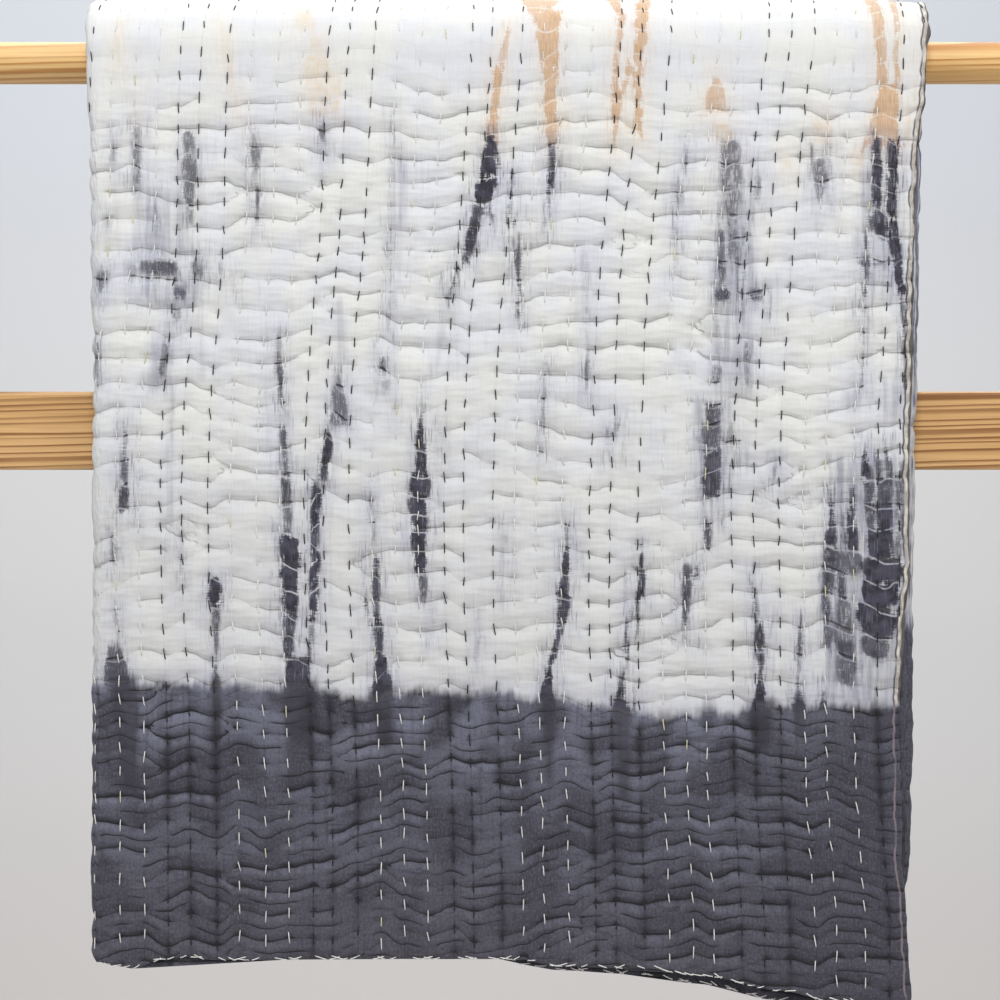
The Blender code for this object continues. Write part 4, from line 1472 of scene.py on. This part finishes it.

# %% [markdown]
# The dipped band is not flat either. It is paler just under its edge and in clouds, and a painted highlight
# lightens the crowns of the pillows, which face up. It turns warmer towards the hem. It is deeper where
# strokes ran into it, and so are their feet just above its edge.

# %% Cloth: the dipped band
band_dye = use_group(t, creep_group, Place=place, Inside=band_mm, Hair_Length=0.70, Softness=4.6)
band_amount = band_dye["Edge"]
near_edge = fade(t, band_mm, 8.0, 75.0)
pale_strength = scaled(t, near_edge, 0.50, 0.32)
pale_amount = times(t, remap(t, clouds, 0.38, 0.58), pale_strength)
crown_highlight_fade = remap(t, band_mm, 20.0, 120.0, 0.70, 0.56)
# Painted highlight on the pillow crowns in the band, where they face up to the light.
painted_crown_highlight = times(t, creases["Crown Highlight"], crown_highlight_fade, remap(t, mottle, 0.30, 0.62))
speckle = streaky(t, place, 620.0, 480.0, 30.0, 1.0, 0.6)
deep = field(t, "band_deep")
band_tone = laid_over(
    t,
    rgb(62, 61, 72),
    (pale_amount, rgb(126, 128, 146)),
    (painted_crown_highlight, rgb(128, 130, 148)),
    (remap(t, band_mm, 90.0, 190.0, 0.0, 0.6), rgb(76, 72, 78)),
    (remap(t, here["X"], 0.50, 0.64, 0.0, 0.70), rgb(60, 59, 69)),
    (remap(t, streaks, 0.50, 0.74, 0.0, 0.50), rgb(60, 59, 69)),
    (remap(t, fibres, 0.30, 0.70, 0.0, 0.34), rgb(100, 100, 113)),
    (remap(t, speckle, 0.50, 0.70, 0.0, 0.26), rgb(118, 118, 131)),
    (remap(t, speckle, 0.50, 0.32, 0.0, 0.26), rgb(46, 45, 53)),
    (times(t, deep, 0.88), rgb(52, 50, 59)),
)
print("the band's own tones done")

# %% [markdown]
# The stitch rows are numbered, so the fraction of a point's row number says how far off a row it is, and the
# number divided by six says whether the row is black or white: three rows of each follow one another. The
# stitch lines are darker than the band, and along the black rows the dye pooled beside them.

# %% Cloth: stitch lines in the band, and the feet above it
stitch_row = field(t, "stitch_row")
row_and_half = calc(t, "ADD", stitch_row, 0.5)
row_off = calc(t, "ABSOLUTE", calc(t, "SUBTRACT", calc(t, "FRACT", row_and_half), 0.5))
row_line = fade(t, row_off, 0.010, 0.060)
row_wide = fade(t, row_off, 0.0, 0.280)
trio_turn = calc(t, "FRACT", calc(t, "DIVIDE", row_and_half, 2.0 * TRIO))
black_rows = calc(t, "LESS_THAN", trio_turn, 0.5)
row_bite = times(t, row_line, -0.00011)
row_line = times(t, row_line, remap(t, mottle, 0.38, 0.60, 0.25, 1.0))
pool_fade = remap(t, band_mm, 25.0, 110.0, 0.90, 0.64)
row_pool = times(t, row_wide, remap(t, clouds, 0.58, 0.40), black_rows, pool_fade)
row_dark = times(t, row_line, scaled(t, black_rows, 0.26, 0.18))
band_tone = laid_over(t, band_tone, (row_pool, rgb(50, 49, 58)), (row_dark, rgb(44, 42, 50)))
row_faint = times(t, row_line, black_rows, 0.08)
band_halo = times(t, band_dye["Halo"], scaled(t, stroke_amount, -0.34, 0.34))
foot_streaks = remap(t, streaks, 0.32, 0.56, 0.62, 1.0)
foot_amount = times(t, deep, remap(t, band_mm, -11.0, -1.0), foot_streaks)
colour = laid_over(
    t,
    colour,
    (row_faint, rgb(120, 122, 136)),
    (band_halo, rgb(166, 169, 193)),
    (foot_amount, rgb(60, 59, 70)),
    (band_amount, band_tone),
)
print("band done")

# %% [markdown]
# Creases are painted a little darker than the cloth around them, and much darker in the band: painted shade.
# A broader painted shade lies just above each crease, and the finer wrinkles are painted as shade in the band
# alone. The undyed cotton of the rolled side hem stays cream above the band. The dark line beside it is
# partly seam and partly painted shadow, and a painted shadow darkens the roll's outer edge. Last, the weave
# tints every colour by a few hundredths.

# %% Cloth: creases and the rolled hem
dyed = larger(t, band_amount, times(t, stroke_amount, 0.85))
# Painted shade along the creases, darker where the cloth is dyed.
crease_shade_strength = scaled(t, dyed, 1.30, 0.26)
painted_crease_shade = times(t, creases["Line"], crease_shade_strength, clamp=True)
painted_crease_shade = times(t, painted_crease_shade, scaled(t, resisted, -0.9, 1.0))
colour = blend(t, painted_crease_shade, colour, blend(t, dyed, rgb(158, 153, 148), rgb(28, 26, 32)))
# Painted shade just above each crease, on the pillow's lower side; dark in the band.
shade_amount = times(t, creases["Shade"], scaled(t, band_amount, 0.70, 0.10))
colour = blend(t, shade_amount, colour, blend(t, band_amount, rgb(172, 172, 174), rgb(40, 38, 45)))
# Painted shade along the fine wrinkles, in the band only.
painted_wrinkle_shade = times(t, creases["Wrinkle Shade"], band_amount)
colour = blend(t, times(t, painted_wrinkle_shade, 0.40), colour, rgb(40, 38, 45))
hem_wobble = streaky(t, place, 5.0, 75.0, 30.0, 1.0)
roll_mm = calc(t, "ADD", field(t, "roll_mm"), scaled(t, hem_wobble, 5.0, -2.5))
# A dark line beside the rolled hem: partly a seam, partly painted shadow where the cloth meets the roll.
seam_and_shadow = times(t, remap(t, roll_mm, -1.9, -0.9), fade(t, roll_mm, -0.5, 0.3))
seam_and_shadow_tone = blend(t, band_amount, rgb(72, 68, 71), rgb(140, 127, 132))
seam_breaks = remap(t, hem_wobble, 0.36, 0.52, 0.40, 0.90)
colour = blend(t, times(t, seam_and_shadow, seam_breaks), colour, seam_and_shadow_tone)
cream = times(t, remap(t, roll_mm, -0.2, 0.5), scaled(t, band_amount, -0.95, 0.92))
cream_tone = blend(t, remap(t, mottle, 0.36, 0.60), rgb(226, 219, 206), rgb(176, 168, 158))
# Painted shadow along the roll's rounded outer edge, outside the band.
rim = times(t, remap(t, roll_mm, 1.8, 2.4), remap(t, band_amount, 0.0, 1.0, 0.88, 0.0))
colour = blend(t, cream, colour, cream_tone)
colour = blend(t, rim, colour, rgb(76, 72, 73))
colour = darkened(t, colour, scaled(t, weave["Tint"], 0.12, 0.88))
plug(t, shader.inputs["Base Color"], colour)
print("colour has", len(t.nodes), "nodes")

# %% [markdown]
# The bump adds up the creases, soft wrinkles, upright crinkles, the stitch lines and the weave. The soft
# wrinkles fade where the cloth is stretched over the rod. Heights are in metres here, so the Bump node's
# distance is 1. Cotton is matte, with the faint sheen of short fibres.

# %% Cloth: bump and sheen
soft_wrinkle = streaky(t, place, 40.0, 150.0, 30.0, 1.0, 0.5)
crinkle = streaky(t, place, 480.0, 42.0, 30.0, 1.0, 0.5)
height = times(t, creases["Height"], 0.00190)
height = scaled(t, soft_wrinkle, times(t, hangs, 0.00140), height)
height = scaled(t, crinkle, 0.00024, height)
height = calc(t, "ADD", height, row_bite)
height = scaled(t, weave["Height"], 0.00006, height)
emboss(t, shader, height, 1.0)
plug(t, shader.inputs["Roughness"], remap(t, weave["Tint"], 0.6, 1.4, 0.84, 0.95))
shader.inputs["Sheen Weight"].default_value = 0.10
shader.inputs["Sheen Roughness"].default_value = 0.5
quilt.data.materials.append(cloth_material)
print("cloth material has", len(t.nodes), "nodes")

# %% [markdown]
# ## Sewing the running stitches
#
# Each stitch is a short piece of cotton thread that comes up on one side of a crease, bridges it and goes
# down on the other. We make it as a small tube bent over the cloth: its ends sink in, its middle stands
# proud. Lengths and tilts vary as hand sewing does. All stitches of one colour are one mesh.

# %% Stitch tubes
THREAD_RADIUS = 0.00042
STITCH_STEPS = np.linspace(-0.5, 0.5, 7)


def tube(points, radius, sides):
    """Points and faces of a tube along a path, with pointed ends."""
    points = np.asarray(points, float)
    tangent = np.gradient(points, axis=0)
    tangent /= np.linalg.norm(tangent, axis=1, keepdims=True)
    helper = np.array([1.0, 0.31, 0.17])
    side = np.cross(tangent, helper)
    side /= np.linalg.norm(side, axis=1, keepdims=True)
    up = np.cross(side, tangent)
    angles = np.arange(sides) * 2.0 * np.pi / sides
    taper = np.ones(len(points))
    taper[0] = taper[-1] = 0.45
    ring = side[:, None] * np.cos(angles)[None, :, None] + up[:, None] * np.sin(angles)[None, :, None]
    verts = (points[:, None] + ring * (radius * taper)[:, None, None]).reshape(-1, 3)
    faces = []
    for i in range(len(points) - 1):
        for j in range(sides):
            k = (j + 1) % sides
            faces.append((i * sides + j, i * sides + k, (i + 1) * sides + k, (i + 1) * sides + j))
    last = (len(points) - 1) * sides
    faces.append(tuple(range(sides))[::-1])
    faces.append(tuple(last + j for j in range(sides)))
    return verts, faces


def join(parts):
    """Many small meshes as one list of points and one of faces, and the number of points in each."""
    points, faces, counts, start = [], [], [], 0
    for verts, polygons in parts:
        points.append(verts)
        faces += [tuple(start + i for i in polygon) for polygon in polygons]
        counts.append(len(verts))
        start += len(verts)
    return np.concatenate(points), faces, counts


CAST_FROM, CAST_FAR = OUTER_FACE + 0.030, 0.035
cloth_tree = BVHTree.FromPolygons(sheet_points.tolist(), sheet_faces)


def seen_height(x, reach):
    """Height of the cloth's own mesh, found by looking straight at it. Where it isn't met, far too low."""
    starts, inward = on_path(x, reach, CAST_FROM), on_path(x, reach, 0.0)
    found = [cloth_tree.ray_cast(Vector(a), Vector(b - a), CAST_FAR)[3] for a, b in zip(starts, inward)]
    return np.array([CAST_FROM - far if far is not None else -1.0 for far in found])


def stitch_paths(row, middles, lengths, tilts):
    """Paths of stitches of one row: over the cloth, or straight across where it dips under them."""
    reach = middles[:, None] + STITCH_STEPS * lengths[:, None]
    x = ROW_ACROSS[row] + slant(np.full(reach.shape, ROW_ACROSS[row]), reach) + STITCH_STEPS * tilts[:, None]
    surface = seen_height(x.ravel(), reach.ravel()).reshape(x.shape)
    on_cloth = surface.min(axis=1) > LAYER_PITCH * 2
    x, reach, surface = x[on_cloth], reach[on_cloth], surface[on_cloth]
    share = STITCH_STEPS + 0.5
    straight = surface[:, :1] * (1.0 - share) + surface[:, -1:] * share
    proud = THREAD_RADIUS * (0.9 - 11.4 * np.abs(STITCH_STEPS) ** 2.6)
    return on_path(x, reach, np.maximum(surface, straight) + proud), on_cloth


print("a stitch bends in", len(STITCH_STEPS) - 1, "steps")

# %% [markdown]
# The stitches sit on the places that also start the creases. We skip those that would fall off the layer's
# edges. Two rows run down the left fold itself, so each stitch is laid on the cloth by looking where it is.

# %% Sew all rows
HEM_MARGIN, SIDE_MARGIN, FOLD_MARGIN = 0.008, 0.0035, 0.0012
sewing = np.random.default_rng(83)
threads = {"black": [], "white": []}
tones = {"black": [], "white": []}
for row, colour_name in enumerate(ROW_THREAD):
    middles = ROW_STITCHES[row] + sewing.normal(0.0, 0.0005, len(ROW_STITCHES[row]))
    lengths = sewing.uniform(0.0068, 0.0098, len(middles))
    tilts = sewing.normal(0.0002, 0.0007, len(middles))
    aged = sewing.random(len(middles)) < 0.05
    x = ROW_ACROSS[row] + slant(np.full(len(middles), ROW_ACROSS[row]), middles)
    left = from_table(EDGES, "reach", "left_fold", middles) + FOLD_MARGIN
    right = from_table(EDGES, "reach", "outer_hem", middles) - SIDE_MARGIN
    drop = hem_drop(x, 0, middles > 0.0)
    kept = (x > left) & (x < right) & (np.abs(middles) - ARCH_REACH < drop - HEM_MARGIN)
    paths, on_cloth = stitch_paths(row, middles[kept], lengths[kept], tilts[kept])
    threads[colour_name] += [tube(path, THREAD_RADIUS, 6) for path in paths]
    tones[colour_name] += aged[kept][on_cloth].astype(float).tolist()
print("stitches:", {name: len(parts) for name, parts in threads.items()})

# %% [markdown]
# ## Overcast hems
#
# The lower hems are overcast in white thread. The stitches lie almost level on the hem's lower edge, each
# leaning up or down a little, often in pairs that make a flat V. Each one starts on the face, runs down to
# the edge and ends behind it. Where the next layer's hem shows below, it is sewn the same way.

# %% Overcast stitches
OVERCAST_STEP = 0.0085
OVERCAST_RADIUS = 0.00042
LEAST_SHOWN = 0.0028


def overcast_path(x, run, rise, layer, front):
    """Path of one overcast stitch that starts on the face and ends under the hem."""
    share = np.array([0.0, 0.12, 0.40, 0.70, 0.92, 1.0])
    above_hem = np.array([rise, rise * 0.92, rise * 0.66, rise * 0.36, 0.0006, -0.0004])
    off_face = np.array([-0.0005, 0.0003, 0.0005, 0.0005, 0.0001, -0.0018])
    xs = x + run * share
    sign = 1.0 if front else -1.0
    drop = hem_drop(xs, layer, front) - above_hem
    reach = sign * (ARCH_REACH + drop)
    if layer > 0:
        face = second_top + loft(xs, reach, layer)
    else:
        face = outer_height(xs, sign * (ARCH_REACH + np.minimum(drop, hem_drop(xs, layer, front) - 0.0012)))
    return on_path(xs, reach, face + off_face)


HEM_FROM, HEM_TO, HEM_LEFT, HEM_RIGHT = 0.100, 0.652, 0.098, 0.660
hems = []
for front in (True, False):
    for layer in (0, 1):
        x = HEM_FROM
        while x < HEM_TO:
            x += OVERCAST_STEP * sewing.uniform(0.55, 1.45)
            run = sewing.choice([-1.0, 1.0]) * sewing.uniform(0.0045, 0.0100)
            rise = sewing.uniform(0.0012, 0.0032)
            behind = float(hem_drop(x, 1, front) - hem_drop(x, 0, front))
            if not HEM_LEFT < x + run < HEM_RIGHT or (layer == 1 and behind < LEAST_SHOWN):
                continue
            rise = rise if layer == 0 else min(rise, behind * 0.6)
            hems.append(tube(overcast_path(x, run, rise, layer, front), OVERCAST_RADIUS, 5))
print("overcast stitches:", len(hems))

# %% [markdown]
# ## Cotton sewing thread
#
# Sewing thread is two or three strands twisted together. The twist shows as fine slanting ridges, so the
# material reads the plain weave group at thread scale for its bump, and the stitches vary a little in tone.
# Some of the white ones have turned yellow from the tan dye.

# %% Thread pieces and materials


def thread_material(name, main, aged):
    """Twisted cotton in one colour, with an aged tone on some stitches."""
    material, t, shader = new_material(name)
    spot = t.nodes.new("ShaderNodeTexCoord").outputs["Object"]
    fibres = use_group(t, weave_group, Place=spot, Thread_Width=0.00035)
    worn = remap(t, cloudy(t, spot, 420.0, 2.0), 0.3, 0.7, 0.82, 1.0)
    plug(t, shader.inputs["Base Color"], darkened(t, blend(t, field(t, "aged"), main, aged), worn))
    emboss(t, shader, fibres["Height"], 0.00008)
    plug(t, shader.inputs["Roughness"], remap(t, fibres["Tint"], 0.6, 1.4, 0.6, 0.8))
    shader.inputs["Sheen Weight"].default_value = 0.15
    return material


def add_thread(name, parts, aged, material):
    """One piece of all the stitches in one thread."""
    points, faces, counts = join(parts)
    piece = add_piece(name, points, faces)
    store(piece.data, "aged", np.repeat(np.asarray(aged, float), counts))
    piece.data.materials.append(material)
    return piece


black_thread = thread_material("black_cotton_thread", rgb(20, 19, 22), rgb(44, 42, 44))
white_thread = thread_material("white_cotton_thread", rgb(242, 241, 237), rgb(232, 228, 192))
black_stitches = add_thread("running_stitch_black", threads["black"], tones["black"], black_thread)
white_stitches = add_thread("running_stitch_white", threads["white"], tones["white"], white_thread)
hem_stitches = add_thread("overcast_hem_stitch", hems, [0.0] * len(hems), white_thread)
print("thread points:", sum(len(p.data.vertices) for p in (black_stitches, white_stitches, hem_stitches)))

# %% [markdown]
# ## Pine
#
# A plank of pine shows its year rings as long lines: pale where the tree grew fast in spring, brown where it
# slowed. Think of the trunk as nested rings and of the plank as a slice through them. The distance from the
# trunk's axis, which lies beside the piece, gives the ring, and a slow noise bends it. The group gives the
# ring pattern, the fine fibre lines and a slow drift of the tone. Both wooden pieces use it, each cut from
# another place in the tree.

# %% Pine grain group
grain_group, given, wanted = new_group(
    "pine_grain", ["Place"], {"Ring Width": 0.006, "Bend": 1.0}, ["Late Wood", "Fibre", "Drift"]
)
t, place = grain_group, given["Place"]
slow = streaky(t, place, 1.1, 8.0, 8.0, 1.0)
fine = streaky(t, place, 7.0, 70.0, 70.0, 2.0)
here = parts_of(t, place)
y2, z2 = (calc(t, "POWER", calc(t, "ABSOLUTE", here[axis]), 2.0) for axis in "YZ")
from_pith = calc(t, "SQRT", calc(t, "ADD", y2, z2))
bent = scaled(t, times(t, slow, given["Bend"]), 0.020, from_pith)
bent = scaled(t, here["X"], -0.026, bent)
bent = scaled(t, fine, 0.0024, bent)
even = calc(t, "DIVIDE", bent, given["Ring Width"])
year = pair(t, times(t, even, 0.55), times(t, here["X"], 0.9))
uneven = scaled(t, cloudy(t, year, 1.0, 1.0), 2.6, even)
ring = calc(t, "FRACT", uneven)
own_year = pair(t, times(t, calc(t, "FLOOR", uneven), 7.37), times(t, here["X"], 5.0))
strong = remap(t, cloudy(t, own_year, 1.0, 1.0), 0.30, 0.56, 0.55, 1.0)
rising = remap(t, ring, 0.12, 0.80)
falling = fade(t, ring, 0.90, 0.99)
late = times(t, calc(t, "POWER", rising, 2.6), falling)
plug(t, wanted["Late Wood"], times(t, late, strong))
plug(t, wanted["Fibre"], streaky(t, place, 14.0, 1500.0, 1500.0, 2.0, 0.6))
plug(t, wanted["Drift"], streaky(t, place, 2.5, 30.0, 30.0, 2.0))
print("grain group has", len(t.nodes), "nodes")

# %% [markdown]
# Each piece of pine has its own recipe: where the trunk's axis lay, how wide the rings are and how much they
# bend, and four tones. Early wood is pale and late wood brown, and each drifts towards a warmer tone.

# %% Pine materials for the rod and the rail
Pine = namedtuple("Pine", "pith ring_width bend early early_warm late late_warm")


def pine_material(name, pine):
    """Planed pine. Pith is where the trunk's axis lies, as Y and Z in metres."""
    material, t, shader = new_material(name)
    own_place = t.nodes.new("ShaderNodeTexCoord").outputs["Object"]
    from_pith = moved(t, own_place, "SUBTRACT", (0.0, *pine.pith))
    grain = use_group(t, grain_group, Place=from_pith, Ring_Width=pine.ring_width, Bend=pine.bend)
    early = blend(t, remap(t, grain["Drift"], 0.3, 0.7), pine.early, pine.early_warm)
    late = blend(t, remap(t, grain["Drift"], 0.3, 0.7), pine.late, pine.late_warm)
    tone = blend(t, times(t, grain["Late Wood"], 0.95), early, late)
    tone = blend(t, remap(t, grain["Fibre"], 0.45, 0.75, 0.0, 0.30), tone, pine.late)
    plug(t, shader.inputs["Base Color"], tone)
    rough = scaled(t, grain["Fibre"], 0.18, 0.40)
    plug(t, shader.inputs["Roughness"], scaled(t, grain["Late Wood"], -0.08, rough))
    emboss(t, shader, scaled(t, grain["Late Wood"], 0.6, grain["Fibre"]), 0.00012)
    shader.inputs["Coat Weight"].default_value = 0.08
    shader.inputs["Coat Roughness"].default_value = 0.35
    return material


rod_tones = (rgb(252, 212, 148), rgb(241, 194, 124), rgb(204, 144, 78), rgb(192, 130, 66))
rail_tones = (rgb(233, 189, 130), rgb(221, 173, 112), rgb(150, 101, 52), rgb(134, 87, 43))
PINES = {
    "rod": Pine((0.012, -0.075), 0.0056, 0.50, *rod_tones),
    "rail": Pine((0.020, -0.820), 0.0050, 0.80, *rail_tones),
}
for name, pine in PINES.items():
    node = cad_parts[name]
    node.data.materials.clear()
    node.data.materials.append(pine_material("pine_" + name, pine))
print("pine on", " and ".join(PINES))

# %% [markdown]
# ## Riding and replacing
#
# Every new piece says what it moves with, and each already has what it is made of. The quilt's own solid is
# hidden, because the cloth takes its place.

# %% Tell the frame what each piece moves with
for piece in (quilt, black_stitches, white_stitches, hem_stitches):
    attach(piece, "root")
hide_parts("quilt")

# %% [markdown]
# ## Studio
#
# The picture was taken against a smooth pale sweep under large soft lights. The sweep here is a wall that
# curves into the floor, a little cooler at the top and warmer at the bottom, and painted darker at the bottom
# and lightest at mid height, as painted shade and light. It stands well behind the quilt, so there is room to
# walk round. A big soft light from above and in front gives the ridges their gentle shade, and one from above
# the wall keeps the sweep bright.

# %% Sweep
WALL_Y, FLOOR_Z, SWEEP_RADIUS, SWEEP_HALF_WIDTH = 3.4, -1.50, 0.9, 6.0
SWEEP_FRONT_Y, SWEEP_TOP_Z, SWEEP_STEPS = -6.0, 4.0, 12
profile = [(SWEEP_FRONT_Y, FLOOR_Z)]
for step in range(SWEEP_STEPS + 1):
    angle = math.pi / 2 * step / SWEEP_STEPS
    y = WALL_Y - SWEEP_RADIUS + SWEEP_RADIUS * math.sin(angle)
    z = FLOOR_Z + SWEEP_RADIUS - SWEEP_RADIUS * math.cos(angle)
    profile.append((y, z))
profile.append((WALL_Y, SWEEP_TOP_Z))
sweep_points = [(x, y, z) for x in (-SWEEP_HALF_WIDTH, SWEEP_HALF_WIDTH) for y, z in profile]
count = len(profile)
sweep_faces = [(i, i + count, i + count + 1, i + 1) for i in range(count - 1)]
sweep = add_piece("studio_sweep", sweep_points, sweep_faces)
sweep_material, t, shader = new_material("sweep_paper")
height = parts_of(t, t.nodes.new("ShaderNodeTexCoord").outputs["Object"])["Z"]
# Painted shade and light: the paper is darker at the bottom and lightest at mid height.
paper_with_painted_shade = blend(t, remap(t, height, -1.45, -0.40), rgb(198, 194, 191), rgb(222, 222, 222))
paper_with_painted_shade = blend(t, remap(t, height, -0.40, 0.80), paper_with_painted_shade, rgb(214, 218, 224))
plug(t, shader.inputs["Base Color"], paper_with_painted_shade)
shader.inputs["Roughness"].default_value = 0.95
sweep.data.materials.append(sweep_material)
print("sweep at", WALL_Y, "m behind the rod")

# %% Lights


def add_light(name, place, target, size, power, colour):
    """A soft area light aimed at a point."""
    light = bpy.data.lights.new(name, "AREA")
    light.shape = "DISK"
    light.size = size
    light.energy = power
    light.color = colour
    lamp = bpy.data.objects.new(name, light)
    bpy.context.scene.collection.objects.link(lamp)
    lamp.location = place
    direction = np.array(target) - np.array(place)
    lamp.rotation_euler = (
        math.atan2(math.hypot(direction[0], direction[1]), -direction[2]),
        0.0,
        math.atan2(direction[1], direction[0]) - math.pi / 2,
    )
    return lamp


quilt_middle = (0.38, 0.0, -0.32)
wall_low = (0.2, WALL_Y, -0.7)
add_light("key_above", (0.35, -2.0, 2.3), quilt_middle, 1.0, 60.0, (1.0, 0.985, 0.965))
add_light("fill_left", (-2.2, -2.2, 0.1), quilt_middle, 2.2, 15.0, (0.97, 0.985, 1.0))
add_light("fill_right", (2.9, -2.0, 0.2), quilt_middle, 2.2, 20.0, (1.0, 0.99, 0.98))
add_light("rear_soft", (0.4, 2.3, 1.6), quilt_middle, 2.0, 24.0, (0.98, 0.99, 1.0))
add_light("wall_wash", (0.12, 1.0, 2.4), wall_low, 2.4, 65.0, (0.99, 0.995, 1.0))
world = bpy.data.worlds.new("soft_room")
world.use_nodes = True
background = world.node_tree.nodes["Background"]
background.inputs["Color"].default_value = (0.93, 0.95, 1.0, 1.0)
background.inputs["Strength"].default_value = 0.36
bpy.context.scene.world = world
bpy.context.scene.view_settings.view_transform = "Standard"
print("lights:", [o.name for o in bpy.context.scene.objects if o.type == "LIGHT"])

# %% [markdown]
# ## Camera
#
# The rod and the rail look level and the quilt's sides hardly converge, so the camera stands straight in
# front, a fair distance away, and looks level at the middle of the picture.

# %% Camera
CAMERA_DISTANCE = 1.66
FRONT_FACE_Y = -0.045
PICTURE_WIDTH = 0.704
AXIS_ABOVE_MIDDLE = 0.3158
camera_data = bpy.data.cameras.new("camera")
camera_data.sensor_width = 36.0
camera_data.lens = camera_data.sensor_width * CAMERA_DISTANCE / PICTURE_WIDTH
camera = bpy.data.objects.new("camera", camera_data)
bpy.context.scene.collection.objects.link(camera)
camera.location = (ROD_MIDDLE, FRONT_FACE_Y - CAMERA_DISTANCE, -AXIS_ABOVE_MIDDLE)
camera.rotation_euler = (math.pi / 2, 0.0, 0.0)
bpy.context.scene.camera = camera
print("lens", round(camera_data.lens, 1), "mm")
